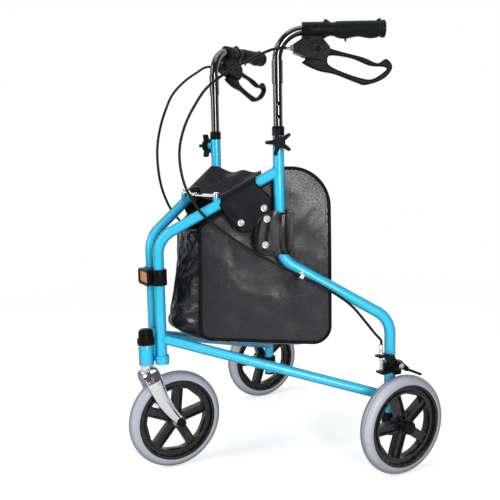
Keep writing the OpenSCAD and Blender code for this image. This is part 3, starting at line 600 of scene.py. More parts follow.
class Finishes:
    """The rollator's finishes."""

    # frame_paint carries painted shade on the edges that turn away from the camera
    frame_paint = FlopFinish(
        "frame_paint", (0.03, 0.6, 0.9), 0.26, coat=0.3, drift=0.08, drift_scale=9, grain=0.05,
        grain_scale=420, rub=0.12, rub_colour=(0.2, 0.7, 0.9), dust=0.04, specular=0.4,
        edge_colour=(0.0, 0.16, 0.36))
    black_plastic = Finish(
        "black_plastic", (0.007, 0.007, 0.008), 0.3, drift=0.18, grain=0.22, grain_scale=1300,
        rub=0.5, rub_colour=(0.03, 0.03, 0.033), dust=0.03, specular=0.06)
    rim_plastic = Finish(
        "rim_plastic", (0.008, 0.008, 0.009), 0.2, drift=0.15, grain=0.15, grain_scale=1100,
        rub=0.5, rub_colour=(0.05, 0.05, 0.055), dust=0.06, specular=0.4)
    black_metal = Finish(
        "black_metal", (0.005, 0.005, 0.006), 0.3, coat=0.1, drift=0.15, grain=0.1, rub=0.6,
        rub_colour=(0.04, 0.04, 0.045), specular=0.1)
    black_tube = Finish(
        "black_tube", (0.005, 0.005, 0.006), 0.12, coat=1.0, drift=0.06, grain=0.02,
        grain_scale=500, rub=0.2, rub_colour=(0.16, 0.16, 0.17), specular=0.8)
    grip_rubber = Finish(
        "grip_rubber", (0.007, 0.009, 0.01), 0.36, drift=0.2, drift_scale=60, grain=0.3,
        grain_scale=1600, rub=0.4, rub_colour=(0.03, 0.03, 0.033), specular=0.1)
    # grey_tyre carries painted shade on the edges that turn away from the camera
    grey_tyre = FlopFinish(
        "grey_tyre", (0.485, 0.495, 0.57), 0.3, drift=0.14, drift_scale=30, grain=0.25,
        grain_scale=1500, rub=0.25, rub_colour=(0.6, 0.6, 0.64), dust=0.3,
        edge_colour=(0.1, 0.1, 0.13), flop=0.75)
    chrome = Finish("chrome", (0.86, 0.86, 0.88), 0.09, 1.0, drift=0.06, drift_scale=40,
                    grain=0.02, grain_scale=300)
    snap_nickel = Finish("snap_nickel", (0.72, 0.72, 0.73), 0.3, 1.0, drift=0.1, grain=0.1,
                         slot="chrome")
    zinc_steel = Finish("zinc_steel", (0.6, 0.6, 0.6), 0.32, 1.0, drift=0.2, drift_scale=90,
                        grain=0.1)
    spring_steel = Finish("spring_steel", (0.7, 0.7, 0.7), 0.22, 1.0, drift=0.15,
                          drift_scale=120, grain=0.05, slot="zinc_steel")
    cable_sheath = Finish("cable_sheath", (0.006, 0.006, 0.007), 0.3, drift=0.15,
                          drift_scale=70, grain=0.1, specular=0.15)
    white_plastic = Finish("white_plastic", (0.8, 0.8, 0.78), 0.4, drift=0.06, grain=0.1)
    amber_plastic = PrismFinish("amber_plastic", (0.5, 0.18, 0.03), 0.3, coat=0.15, drift=0.1,
                                grain=0.6, specular=0.15)
    bag_vinyl = VinylFinish("bag_vinyl", (0.007, 0.007, 0.01), 0.24, specular=0.57)
    soft_vinyl = VinylFinish("soft_vinyl", (0.006, 0.006, 0.008), 0.13, specular=0.45)
    lid_vinyl = VinylFinish("lid_vinyl", (0.01, 0.01, 0.012), 0.26, specular=0.12)
    strap_vinyl = VinylFinish("strap_vinyl", (0.006, 0.006, 0.008), 0.08, crease=1.6,
                              specular=0.55)
    bag_piping = VinylFinish("bag_piping", (0.006, 0.006, 0.007), 0.55, drift=0.15,
                             drift_scale=40, grain_scale=900, crease=0.2, specular=0.12)
    thread = Finish("bag_thread", (0.02, 0.02, 0.022), 0.7, drift=0.25, drift_scale=200,
                    grain=0.4, grain_scale=2200, slot="bag_vinyl")


class Shape:
    """Ways to make the meshes that the pieces need."""

    sharp_angle: float = 35.0

    @staticmethod
    def link(name: str, data: bpy.types.ID) -> Piece:
        """Put new data into the scene as an object.

        Args:
            name: name of the object.
            data: its mesh, curve, camera or lamp.

        Returns:
            The object.
        """
        made = bpy.data.objects.new(name, data)
        bpy.context.scene.collection.objects.link(made)
        return made

    @staticmethod
    def result(piece: Piece) -> Piece:
        """Give a piece with its modifiers worked out."""
        return piece.evaluated_get(bpy.context.evaluated_depsgraph_get())

    @staticmethod
    def smooth(data: bpy.types.Mesh) -> None:
        """Shade every face of a mesh smooth."""
        data.polygons.foreach_set("use_smooth", [True] * len(data.polygons))

    @staticmethod
    def clean(data: bpy.types.Mesh, weld: float = 0.0) -> None:
        """Turn the faces of a mesh outward and merge points that lie together.

        Args:
            data: the mesh.
            weld: distance in metres within which points are merged, 0 for none.
        """
        work = bmesh.new()
        work.from_mesh(data)
        if weld:
            bmesh.ops.remove_doubles(work, verts=work.verts, dist=weld)
        bmesh.ops.recalc_face_normals(work, faces=work.faces)
        work.to_mesh(data)
        work.free()

    @staticmethod
    def angles(count: int) -> list[float]:
        """Even angles of one turn."""
        return [math.tau * k / count for k in range(count)]

    @staticmethod
    def net(rows: int, cols: int, wrap: bool = False, loop: bool = False) -> list[tuple[int, ...]]:
        """Faces of a net of points that are numbered row after row.

        Args:
            rows: how many rows there are.
            cols: how many points a row has.
            wrap: each row's last point joins its first.
            loop: the last row joins the first.

        Returns:
            The point numbers of each face.
        """
        made: list[tuple[int, ...]] = []
        for i in range(rows if loop else rows - 1):
            here, there = i * cols, (i + 1) % rows * cols
            for k in range(cols if wrap else cols - 1):
                m = (k + 1) % cols
                made.append((here + k, here + m, there + m, there + k))
        return made

    @classmethod
    def mesh(cls, name: str, verts: Iterable[Sequence[float]], faces: Iterable[Sequence[int]]
             ) -> Piece:
        """Make an object from vertices in metres and faces.

        Args:
            name: name of the piece.
            verts: places of the vertices.
            faces: vertex numbers of each face.

        Returns:
            The new object, linked to the scene.
        """
        data = bpy.data.meshes.new(name)
        data.from_pydata([tuple(v) for v in verts], [], [tuple(f) for f in faces])
        cls.clean(data)
        cls.smooth(data)
        return cls.link(name, data)

    @staticmethod
    def curve(points: Sequence[Sequence[float]], steps: int, closed: bool = False) -> list[Vector]:
        """Points of a smooth curve through a list of points.

        Args:
            points: points to go through.
            steps: steps between two of them.
            closed: the curve runs back to its start.

        Returns:
            The points, with the last one only where the curve is open.
        """
        p = [Vector(q) for q in points]
        count = len(p)
        made: list[Vector] = []
        for i in range(count if closed else count - 1):
            a, b, c, d = (p[(i + k) % count] if closed else p[max(0, min(count - 1, i + k))]
                          for k in (-1, 0, 1, 2))
            for t in (k / steps for k in range(steps)):
                made.append(0.5 * (2 * b + (c - a) * t + (2 * a - 5 * b + 4 * c - d) * t * t
                                   + (3 * b - a - 3 * c + d) * t ** 3))
        return made if closed else made + [p[-1]]

    @classmethod
    def round_loop(cls, loop: Loop, steps: int) -> list[Pair]:
        """Smooth closed outline through a list of points."""
        return [(p.x, p.y) for p in cls.curve([(*q, 0) for q in loop], steps, True)]

    @staticmethod
    def frames(points: Sequence[Vector], closed: bool) -> list[tuple[Vector, Vector]]:
        """Two side vectors at each point of a line, carried along without twist.

        Args:
            points: points of the line.
            closed: the line runs back to its start.

        Returns:
            The side vectors of each point.
        """
        count = len(points)
        made: list[tuple[Vector, Vector]] = []
        side = Vector((0.31, 0.47, 0.83))
        for i in range(count):
            a = points[(i - 1) % count] if closed else points[max(0, i - 1)]
            b = points[(i + 1) % count] if closed else points[min(count - 1, i + 1)]
            t = (b - a).normalized()
            side = (side - t * side.dot(t)).normalized()
            made.append((side, t.cross(side)))
        return made

    @classmethod
    def tube(cls, name: str, points: Sequence[Vector], radius: float | Callable[[int], float],
             sides: int = 12, closed: bool = False) -> Piece:
        """Make a round tube along points in metres.

        Args:
            name: name of the piece.
            points: points of its centre line.
            radius: radius, or its value at each point.
            sides: sides of the tube.
            closed: the tube runs back to its start.

        Returns:
            The new object.
        """
        verts: list[Vector] = []
        for i, (u, v) in enumerate(cls.frames(points, closed)):
            r = radius(i) if callable(radius) else radius
            verts += [points[i] + r * (math.cos(a) * u + math.sin(a) * v)
                      for a in cls.angles(sides)]
        faces = cls.net(len(points), sides, True, closed)
        if not closed:
            faces += [tuple(range(sides))[::-1], tuple(range(len(verts) - sides, len(verts)))]
        return cls.mesh(name, verts, faces)

    @classmethod
    def lathe(cls, name: str, profile: Loop, place: Matrix, sides: int = 48) -> Piece:
        """Turn a profile round Z and put it in place.

        Args:
            name: name of the piece.
            profile: radius and height of each ring in millimetres.
            place: matrix that puts it in the part's frame.
            sides: sides of the turned shape.

        Returns:
            The new object.
        """
        verts = [place @ Vector((r * MM * math.cos(a), r * MM * math.sin(a), h * MM))
                 for r, h in profile for a in cls.angles(sides)]
        faces = cls.net(len(profile), sides, True)
        for ring in (0, len(profile) - 1):
            if profile[ring][0] > 0:
                faces.append(tuple(range(ring * sides, (ring + 1) * sides)))
        made = cls.mesh(name, verts, faces)
        cls.clean(made.data, 1e-7)
        return made

    @classmethod
    def cut_plate(cls, name: str, outline: Loop, holes: Sequence[Loop], thick: float, edge: float,
                  place: Matrix, steps: int = 3) -> Piece:
        """Make a plate from an outline and holes in millimetres, with rounded edges.

        Args:
            name: name of the piece.
            outline: outline in the plate's own X and Y.
            holes: outlines of its holes.
            thick: full thickness along its Z, which is centred.
            edge: radius of its edges.
            place: matrix that puts it in the part's frame.
            steps: steps of the rounding.

        Returns:
            The new object.
        """
        line = bpy.data.curves.new(name + "_line", "CURVE")
        line.dimensions = "2D"
        line.fill_mode = "BOTH"
        line.extrude = (thick / 2 - edge) * MM
        line.bevel_depth = edge * MM
        line.bevel_resolution = steps
        line.offset = -edge * MM
        for loop in (outline, *holes):
            spline = line.splines.new("POLY")
            spline.points.add(len(loop) - 1)
            for p, q in zip(spline.points, loop):
                p.co = (q[0] * MM, q[1] * MM, 0, 1)
            spline.use_cyclic_u = True
        source = cls.link(name + "_line", line)
        bpy.context.view_layer.update()
        data = bpy.data.meshes.new_from_object(cls.result(source))
        bpy.data.objects.remove(source)
        data.name = name
        data.transform(place)
        cls.clean(data, 1e-6)
        cls.smooth(data)
        data.set_sharp_from_angle(angle=math.radians(cls.sharp_angle))
        return cls.link(name, data)

    @staticmethod
    def join(name: str, parts: Sequence[Piece]) -> Piece:
        """Join several new objects into one.

        Args:
            name: name of the joined piece.
            parts: the objects, of which the first one stays.

        Returns:
            The joined piece.
        """
        first = parts[0]
        with bpy.context.temp_override(active_object=first, object=first,
                                       selected_objects=list(parts),
                                       selected_editable_objects=list(parts)):
            bpy.ops.object.join()
        first.name = first.data.name = name
        return first


class Dresser:
    """Gives pieces their finish and body, and logs each of them."""

    weld: float = 2e-6
    flat_angle: float = 0.5

    def __init__(self, packed: dict[str, Piece]) -> None:
        """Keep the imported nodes."""
        self.packed = packed

    @staticmethod
    def paint(piece: Piece, finish: Finish) -> None:
        """Give a piece one finish alone."""
        piece.data.materials.clear()
        piece.data.materials.append(finish.material())

    def node(self, name: str, finish: Finish, soften: float = 0.0, angle: float = 40.0) -> None:
        """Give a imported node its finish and, if asked, softened edges.

        Args:
            name: name of the node.
            finish: its finish.
            soften: radius of its edges in millimetres, 0 for none.
            angle: least angle of an edge that is softened, in degrees.
        """
        piece = self.packed[name]
        self.paint(piece, finish)
        if soften:
            piece.modifiers.new("weld", "WELD").merge_threshold = self.weld
            flat = piece.modifiers.new("flat", "DECIMATE")
            flat.decimate_type = "DISSOLVE"
            flat.angle_limit = math.radians(self.flat_angle)
            edge = piece.modifiers.new("edge", "BEVEL")
            edge.width = soften * MM
            edge.segments = 2
            edge.limit_method = "ANGLE"
            edge.angle_limit = math.radians(angle)
            edge.use_clamp_overlap = True
            edge.harden_normals = False
        LOG.info("node %s: %s", name, finish.name)

    def nodes(self, prefix: str, *rows: tuple[str, Finish, float]) -> None:
        """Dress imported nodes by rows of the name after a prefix, finish and edge radius."""
        for name, finish, soften in rows:
            self.node(prefix + name, finish, soften)

    def piece(self, piece: Piece, finish: Finish, body: str | None,
              stands_for: Sequence[str] = ()) -> Piece:
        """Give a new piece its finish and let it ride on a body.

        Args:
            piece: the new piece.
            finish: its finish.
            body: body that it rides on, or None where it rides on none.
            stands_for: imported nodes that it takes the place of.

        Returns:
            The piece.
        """
        self.paint(piece, finish)
        if body is not None:
            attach(piece, body)
        if stands_for:
            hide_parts(*stands_for)
        LOG.info("piece %s on %s", piece.name, body or "two bodies")
        return piece


@dataclass
class Stage:
    """Camera, lamps, pale floor and white world."""

    place: Point = (1.23997, -0.69225, 0.60304)
    azimuth: float = 60.80
    pitch: float = 7.63
    roll: float = -1.19
    lens: float = 51.05
    sensor: float = 36.0
    aim: Point = (0, 0, 0.42)
    floor_size: float = 6.0
    floor_fade: Pair = (0.75, 2.2)
    floor_colour: Colour = (0.93, 0.93, 0.93)
    floor_glow: float = 0.5
    ambient: float = 0.34
    dark_side: float = 0.1
    dark_span: Pair = (-0.25, 0.45)

    def axes(self) -> tuple[Vector, Vector, Vector]:
        """Directions of the camera.

        Returns:
            Its right, up and back vectors.
        """
        a, e, w = (math.radians(v) for v in (self.azimuth, self.pitch, self.roll))
        back = Vector((math.sin(a) * math.cos(e), -math.cos(a) * math.cos(e), math.sin(e)))
        right = Vector((math.cos(a), math.sin(a), 0))
        up = back.cross(right)
        c, s = math.cos(w), math.sin(w)
        return right * c + up * s, up * c - right * s, back

    def build(self) -> None:
        """Make the camera, lamps, floor and world."""
        scene = bpy.context.scene
        scene.view_settings.view_transform = "Standard"
        right, up, back = self.axes()
        data = bpy.data.cameras.new("camera")
        data.lens, data.sensor_width = self.lens, self.sensor
        scene.camera = Shape.link("camera", data)
        turn = Matrix((right, up, back)).transposed().to_4x4()
        scene.camera.matrix_world = Matrix.Translation(self.place) @ turn
        self.lamps(right, back)
        self.floor()
        self.world()

    def lamps(self, right: Vector, back: Vector) -> None:
        """Hang soft boxes to the left and right of the camera and one above the object.

        Args:
            right: the camera's right vector.
            back: its back vector.
        """
        flat = Vector((back.x, back.y, 0)).normalized()
        up, aim = Vector((0, 0, 1)), Vector(self.aim)
        rows = (
            ("key", aim - right * 1.8 + flat * 0.9 + up * 0.9, (0.7, 1.7), 19),
            ("fill", aim + right * 0.68 + flat * 2.2 + up * 0.42, (0.5, 0.9), 25),
            ("top", aim + up * 2.1 + flat * 0.3, (1.6, 1.6), 14),
        )
        for name, place, size, watts in rows:
            data = bpy.data.lights.new(name, "AREA")
            data.shape = "RECTANGLE"
            data.size, data.size_y = size
            data.energy = watts
            lamp = Shape.link(name, data)
            lamp.location = place
            lamp.rotation_mode = "QUATERNION"
            lamp.rotation_quaternion = (aim - place).to_track_quat("-Z", "Y")

    def floor(self) -> None:
        """Lay a pale floor that fades into the white world."""
        half = self.floor_size / 2
        corners = [(x * half, y * half, 0) for x, y in ((-1, -1), (1, -1), (1, 1), (-1, 1))]
        floor = Shape.mesh("floor", corners, [(0, 1, 2, 3)])
        mat = bpy.data.materials.new("pale_floor")
        n = Nodes.fresh(mat)
        seen = n.add("LightPath").outputs["Is Camera Ray"]
        dull = n.add("BsdfDiffuse", Color=(*self.floor_colour, 1))
        glow = n.add("Emission", Color=WHITE, Strength=n.times(seen, self.floor_glow))
        both = n.add("AddShader", in0=dull.outputs[0], in1=glow.outputs[0])
        where = n.add("TexCoord").outputs["Object"]
        spot = n.add("VectorMath", operation="LENGTH", in0=where).outputs["Value"]
        surface = n.add("MixShader", in0=n.ramp(spot, *self.floor_fade), in1=both.outputs[0],
                        in2=n.add("BsdfTransparent").outputs[0])
        n.add("OutputMaterial", Surface=surface.outputs[0])
        floor.data.materials.append(mat)

    def world(self) -> None:
        """Give a world that is white to the camera, and to gloss that looks away from it."""
        world = bpy.data.worlds.new("white_room")
        n = Nodes.fresh(world)
        path = n.add("LightPath").outputs
        a = math.radians(self.azimuth)
        away = n.add("VectorMath", operation="DOT_PRODUCT",
                     in0=n.add("TexCoord").outputs["Generated"],
                     in1=(-math.sin(a), math.cos(a), 0)).outputs["Value"]
        mirrored = n.math("MAXIMUM", path["Is Glossy Ray"], path["Is Transmission Ray"])
        sheen = n.ramp(away, *self.dark_span, (self.dark_side, 1.0))
        level = n.blend(path["Is Camera Ray"], n.blend(mirrored, self.ambient, sheen), 1.0)
        back = n.add("Background", Color=WHITE, Strength=level)
        n.add("OutputWorld", Surface=back.outputs[0])
        world.cycles.sampling_method = "NONE"
        bpy.context.scene.world = world


@dataclass
class SteeringHead:
    """Head tube with its cap, the block between the posts, the reflector and the caster fork."""

    bezel_r: float = 3.0
    bezel_gap: float = 1.2
    corner_r: float = 5.0
    cap_profile: Loop = ((8.6, -5.6), (9.2, -5.2), (9.2, -1.5), (8.4, 0.4), (6.0, 1.6), (0.0, 2.1))

    def dress(self, on: Dresser) -> None:
        """Dress the head's nodes and build its trim.

        Args:
            on: dresser of the pieces.
        """
        on.nodes(
            "",
            ("head_tube", Finishes.frame_paint, 0.6), ("head_cap", Finishes.black_plastic, 0.5),
            ("head_bearings", Finishes.zinc_steel, 0), ("hinge_block", Finishes.black_plastic, 1.2),
            ("reflector", Finishes.amber_plastic, 0.6), ("fork", Finishes.chrome, 0),
            ("stem_nut", Finishes.zinc_steel, 0), ("fork_axle", Finishes.zinc_steel, 0.3))
        on.piece(self.bezel(), Finishes.black_plastic, "head")
        for side in Side:
            on.piece(self.axle_cap(side), Finishes.black_plastic, "caster")

    def bezel(self) -> Piece:
        """Mould a rounded rim round the reflector.

        Returns:
            The rim.
        """
        low, high = (Vector(p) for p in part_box("reflector"))
        mid, half = (low + high) / 2, (high - low) / 2
        r, gap = self.corner_r * MM, self.bezel_gap * MM
        wide, tall = half.x + gap - r, half.z + gap - r
        loop = [Vector((mid.x + x * wide + r * math.cos(a), low.y,
                        mid.z + z * tall + r * math.sin(a)))
                for turn, (x, z) in enumerate(((1, 1), (-1, 1), (-1, -1), (1, -1)))
                for a in (math.pi / 2 * (turn + k / 8) for k in range(9))]
        return Shape.tube("reflector_bezel", loop, self.bezel_r * MM, 12, True)

    def axle_cap(self, side: Side) -> Piece:
        """Make the domed cap over one nut of the fork's axle.

        Args:
            side: side that the cap is on.

        Returns:
            The cap.
        """
        low, high = (Vector(p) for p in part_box("fork_axle"))
        mid = (low + high) / 2
        turn = Vector((side.value, 0, 0)).to_track_quat("Z", "Y").to_matrix().to_4x4()
        place = Matrix.Translation((side.value * high.x, mid.y, mid.z)) @ turn
        return Shape.lathe(f"{side.word}_fork_cap", self.cap_profile, place, 40)


@dataclass
class Wheels:
    """Three wheels: grey tyres on black spoked rims."""

    rear: tuple[str, ...] = ("left", "right")

    def dress(self, on: Dresser) -> None:
        """Dress the wheels' nodes.

        Args:
            on: dresser of the pieces.
        """
        for name in ("front", *self.rear):
            on.nodes(name, ("_tyre", Finishes.grey_tyre, 0), ("_rim", Finishes.rim_plastic, 0.5))
        on.node("front_bearings", Finishes.zinc_steel)
        for name in self.rear:
            on.nodes(name, ("_wheel_bearings", Finishes.zinc_steel, 0),
                     ("_hub_cap", Finishes.black_plastic, 0))


@dataclass
class FoldingStay:
    """Middle joint of the folding stay, with its turned cap."""

    cap_z: float = 534.2
    profile: Loop = ((9.2, 0.0), (9.6, 0.4), (9.6, 8.4), (8.6, 10.0), (5.6, 10.8), (0.0, 11.0))

    def dress(self, on: Dresser) -> None:
        """Dress the joint and build its cap.

        Args:
            on: dresser of the pieces.
        """
        on.node("stay_joint", Finishes.black_plastic, 0.8)
        place = Matrix.Translation(Vector((0.0, STAY_MIDDLE_Y, self.cap_z)) * MM)
        cap = Shape.lathe("stay_cap", self.profile, place, 40)
        on.piece(cap, Finishes.black_plastic, "right_stay")


@dataclass
class SideFrame:
    """Bent tubes of one side with their welds, bracket, axle, clamp knob and half of the stay."""

    plane: SidePlane
    rear_s: float = 432.0
    lower_front_z: float = 264.0
    lower_rear_z: float = 139.0
    stay_s: float = 110.0
    stay_z: Pair = (529.5, 532.9)
    nut_lift: float = 1.5
    nut_profile: Loop = ((3.2, 0.0), (5.6, 0.0), (5.8, 0.8), (5.4, 3.4), (3.8, 5.2), (0.0, 6.0))
    rod_r: float = 3.4
    rod_end_r: float = 2.4
    bead_r: Pair = (1.5, 0.3)
    bead_steps: int = 96

    def dress(self, on: Dresser) -> None:
        """Dress the tubes and build the stay's nut, its rod and the weld beads.

        Args:
            on: dresser of the pieces.
        """
        w = self.plane.word
        on.nodes(
            w,
            ("_front_tube", Finishes.frame_paint, 0), ("_rear_tube", Finishes.frame_paint, 0),
            ("_lower_tube", Finishes.frame_paint, 0), ("_tube_collar", Finishes.black_plastic, 0.5),
            ("_axle_bracket", Finishes.black_plastic, 0.8), ("_axle", Finishes.zinc_steel, 0.3),
            ("_knob", Finishes.black_plastic, 1.2), ("_cable_clip", Finishes.white_plastic, 0.4),
            ("_stay_link", Finishes.chrome, 0.5))
        z = self.stay_z[0 if self.plane.near else 1]
        top = Matrix.Translation(self.plane.point(self.stay_s, 0.0, z + self.nut_lift))
        nut = Shape.lathe(f"{w}_stay_nut", self.nut_profile, top, 32)
        on.piece(nut, Finishes.chrome, f"{w}_frame")
        on.piece(self.stay_rod(z), Finishes.chrome, f"{w}_stay")
        fall = SLOPE_FOOT_Z - SLOPE_HEAD_Z
        drop = self.lower_rear_z - self.lower_front_z
        rows = (
            ("slope", (UPRIGHT_S, SLOPE_HEAD_Z), (-UPRIGHT_S, fall), 10.0, 10.5),
            ("lower_front", (0.0, self.lower_front_z), (self.rear_s, drop), 9.5, 10.0),
            ("lower_rear", (self.rear_s, self.lower_rear_z), (-self.rear_s, -drop), 9.5, 10.5),
        )
        for name, *row in rows:
            on.piece(self.bead(f"{w}_weld_{name}", *row), Finishes.frame_paint, f"{w}_frame")

    def stay_rod(self, z: float) -> Piece:
        """Run a round rod along this half of the folding stay.

        Args:
            z: height of the rod.

        Returns:
            The rod, narrower at its ends.
        """
        start = self.plane.point(self.stay_s, 0.0, z)
        end = Vector((0.0, STAY_MIDDLE_Y, z)) * MM
        along = (end - start).normalized() * MM
        line = [start + along * 8.5, start + along * 10, end - along * 11, end - along * 9.5]
        radii = (self.rod_end_r, self.rod_r, self.rod_r, self.rod_end_r)
        return Shape.tube(f"{self.plane.word}_stay_rod", line, lambda i: radii[i] * MM, 16)

    def bead(self, name: str, at: Pair, way: Pair, tube_r: float, post_r: float) -> Piece:
        """Make the rippled bead round a tube that meets an upright post.

        Args:
            name: name of the piece.
            at: point (s, z) where the two axes cross.
            way: direction (s, z) in which the tube leaves the post.
            tube_r: radius of the tube.
            post_r: radius of the post.

        Returns:
            The bead.
        """
        ds, dz = (v / math.hypot(*way) for v in way)
        line: list[Vector] = []
        for a in Shape.angles(self.bead_steps):
            across, rise = tube_r * math.cos(a), tube_r * math.sin(a)
            reach = math.sqrt(max(0.0, post_r ** 2 - across ** 2))
            s_side = -dz * rise
            along = (reach - math.copysign(1, ds) * s_side) / abs(ds)
            line.append(self.plane.point(at[0] + ds * along + s_side, across,
                                         at[1] + dz * along + ds * rise))
        size, ripple = self.bead_r
        radii = [(size + ripple * math.sin(i * math.tau / 4)) * MM for i in range(self.bead_steps)]
        return Shape.tube(name, line, lambda i: radii[i], 8, True)


@dataclass
class HandleSet:
    """Handle tube, rubber grip, brake housing and loop lever of one side."""

    plane: SidePlane
    grip_z: float = 822.0
    grip_from: float = 83.0
    grip_len: float = 111.0
    radius: float = 14.2
    end_len: float = 8.0
    end_r: float = 15.5
    lip_len: float = 4.0
    lip: float = 1.2
    waist_x: float = 15.0
    waist: float = 1.6
    wave: float = 1.7
    wave_len: float = 48.0
    wave_from: float = 14.0
    pads_from: float = 22.0
    pad_pitch: float = 4.2
    pad_count: int = 22
    pad_high: float = 0.75
    round_front: float = 1.2
    round_rear: float = 2.2
    grip_mesh: tuple[int, int] = (150, 132)
    nubs: tuple[Loop, ...] = (
        ((83, 10), (83.4, 15.4), (86, 18.4), (90, 17), (96, 13), (96, 10)),
        ((175, 10), (176, 13.4), (182, 18), (185.5, 18.2), (186, 10)))
    nub_thick: float = 9.0
    nub_edge: float = 1.6
    peg_x: float = 40.0
    peg: Loop = ((2.0, 10), (2.0, 14), (1.9, 18), (1.6, 20.4), (0.9, 21))
    lever_outline: Loop = (
        (50, -51), (46, -58), (74, -71.5), (104, -78.5), (142, -93.5), (160, -98), (192, -87.5),
        (207, -68), (196, -53), (180, -60), (154, -49.5), (112, -38), (86, -29), (72, -21),
        (60, -32))
    lever_window: Loop = (
        (97, -45), (134, -51), (166, -64), (190, -66.5), (197, -71), (178, -85), (160, -88),
        (124, -77), (96, -64), (90, -54))
    lever_thick: float = 11.0
    lever_edge: float = 3.2
    pivot: Pair = (72.0, -34.0)
    cheek_y: float = 12.0
    ribs: tuple[tuple[float, int, int], ...] = ((19, 40, 150), (14.5, 30, 160))
    rib_r: float = 0.9
    screws: Loop = ((52, -14), (77, -14))
    pin_profile: Loop = ((0.0, 1.9), (2.2, 1.7), (4.0, 1.1), (4.8, 0.2), (4.9, -0.4))
    screw_profile: Loop = ((0.0, 0.5), (1.6, 0.5), (2.4, 0.9), (3.0, 0.5), (3.1, -0.4))

    @property
    def face(self) -> Matrix:
        """Matrix from an outline measured from the upright and the grip's axis to the part."""
        place = Matrix.Translation((UPRIGHT_S * MM, 0, self.grip_z * MM))
        return self.plane.matrix() @ place @ Matrix.Rotation(math.radians(90), 4, "X")

    def dress(self, on: Dresser) -> None:
        """Dress the handle's nodes and build its grip, lever and housing relief.

        Args:
            on: dresser of the pieces.
        """
        w = self.plane.word
        on.node(f"{w}_handle_tube", Finishes.black_tube)
        on.node(f"{w}_barrel_adjuster", Finishes.chrome, 0.3)
        on.node(f"{w}_brake_housing", Finishes.black_plastic, 1.4, 30)
        on.piece(self.grip(), Finishes.grip_rubber, f"{w}_handle", [f"{w}_grip"])
        on.piece(self.lever(), Finishes.black_plastic, f"{w}_lever", [f"{w}_brake_lever"])
        on.piece(self.relief(), Finishes.black_plastic, f"{w}_handle")

    def grip_radius(self, x: float, a: float) -> float:
        """Radius of the grip's skin with its waist, finger waves and raised pads.

        Args:
            x: distance from its front face.
            a: angle from the top.

        Returns:
            The radius in millimetres.
        """
        skin = self.grip_len - self.end_len
        if x > skin:
            return self.end_r
        r = self.radius + (self.lip if x < self.lip_len else 0.0)
        if math.cos(a) < 0:
            turn = math.tau * (x - self.wave_from) / self.wave_len
            r -= self.wave * math.cos(a) ** 2 * math.cos(turn)
        r -= self.waist * math.exp(-((x - self.waist_x) / 8) ** 2)
        if self.pads_from < x < skin - 4:
            row, fx = divmod((x - self.pads_from) / self.pad_pitch, 1)
            fa = (a / math.tau * self.pad_count + 0.5 * (row % 2)) % 1
            far = sum((abs(v - 0.5) * 2.3) ** 3 for v in (fx, fa))
            r += self.pad_high * max(0.0, 1 - far)
        return r

    def rounding(self, x: float) -> float:
        """How much the rounding of the grip's two ends takes off its radius.

        Args:
            x: distance from its front face.

        Returns:
            The depth in millimetres.
        """
        for r, into in ((self.round_rear, x - self.grip_len + self.round_rear),
                        (self.round_front, self.round_front - x)):
            if into > 0:
                return r - math.sqrt(max(0.0, r ** 2 - into ** 2))
        return 0.0

    def grip(self) -> Piece:
        """Make the grip with a nub at each end and a peg below.

        Returns:
            The grip.
        """
        w = self.plane.word
        steps, sides = self.grip_mesh
        start = UPRIGHT_S + self.grip_from
        verts: list[Vector] = []
        for x in (self.grip_len * i / steps for i in range(steps + 1)):
            for a in Shape.angles(sides):
                r = self.grip_radius(x, a) - self.rounding(x)
                verts.append(self.plane.point(start + x, -r * math.sin(a),
                                              self.grip_z + r * math.cos(a)))
        faces = Shape.net(steps + 1, sides, True)
        faces += [tuple(range(sides)), tuple(range(len(verts) - sides, len(verts)))]
        parts = [Shape.mesh(f"{w}_grip_body", verts, faces)]
        for k, nub in enumerate(self.nubs):
            parts.append(Shape.cut_plate(f"{w}_nub_{k}", nub, (), self.nub_thick, self.nub_edge,
                                         self.face))
        line = [self.plane.point(start + self.peg_x, 0, self.grip_z - z) for _, z in self.peg]
        parts.append(Shape.tube(f"{w}_peg", line, lambda i: self.peg[i][0] * MM, 16))
        return Shape.join(f"{w}_grip_skin", parts)

    def lever(self) -> Piece:
        """Make the loop lever with rounded edges."""
        outline, window = (Shape.round_loop(q, 8) for q in (self.lever_outline, self.lever_window))
        return Shape.cut_plate(f"{self.plane.word}_lever_loop", outline, [window],
                               self.lever_thick, self.lever_edge, self.face, 4)

    def relief(self) -> Piece:
        """Make the moulded ribs, pivot head and screws on both cheeks of the housing.

        Returns:
            The relief of both cheeks, joined.
        """
        w, (px, py) = self.plane.word, self.pivot
        parts: list[Piece] = []
        for side in (-1, 1):
            y = side * self.cheek_y
            for r, first, last in self.ribs:
                turns = [math.radians(a) for a in range(first, last + 1, 6)]
                arc = [(px + r * math.cos(a), py - 4 + r * math.sin(a), y) for a in turns]
                line = [self.face @ (Vector(p) * MM) for p in arc]
                parts.append(Shape.tube(f"{w}_rib", line, self.rib_r * MM, 8))
            turn = Matrix.Rotation(math.radians(0 if side > 0 else 180), 4, "X")
            heads = [("pin", self.pivot, self.pin_profile, 32)]
            heads += [("screw", spot, self.screw_profile, 24) for spot in self.screws]
            for name, spot, profile, sides in heads:
                place = self.face @ Matrix.Translation(Vector((*spot, y)) * MM) @ turn
                parts.append(Shape.lathe(f"{w}_{name}", profile, place, sides))
        return Shape.join(f"{w}_housing_relief", parts)


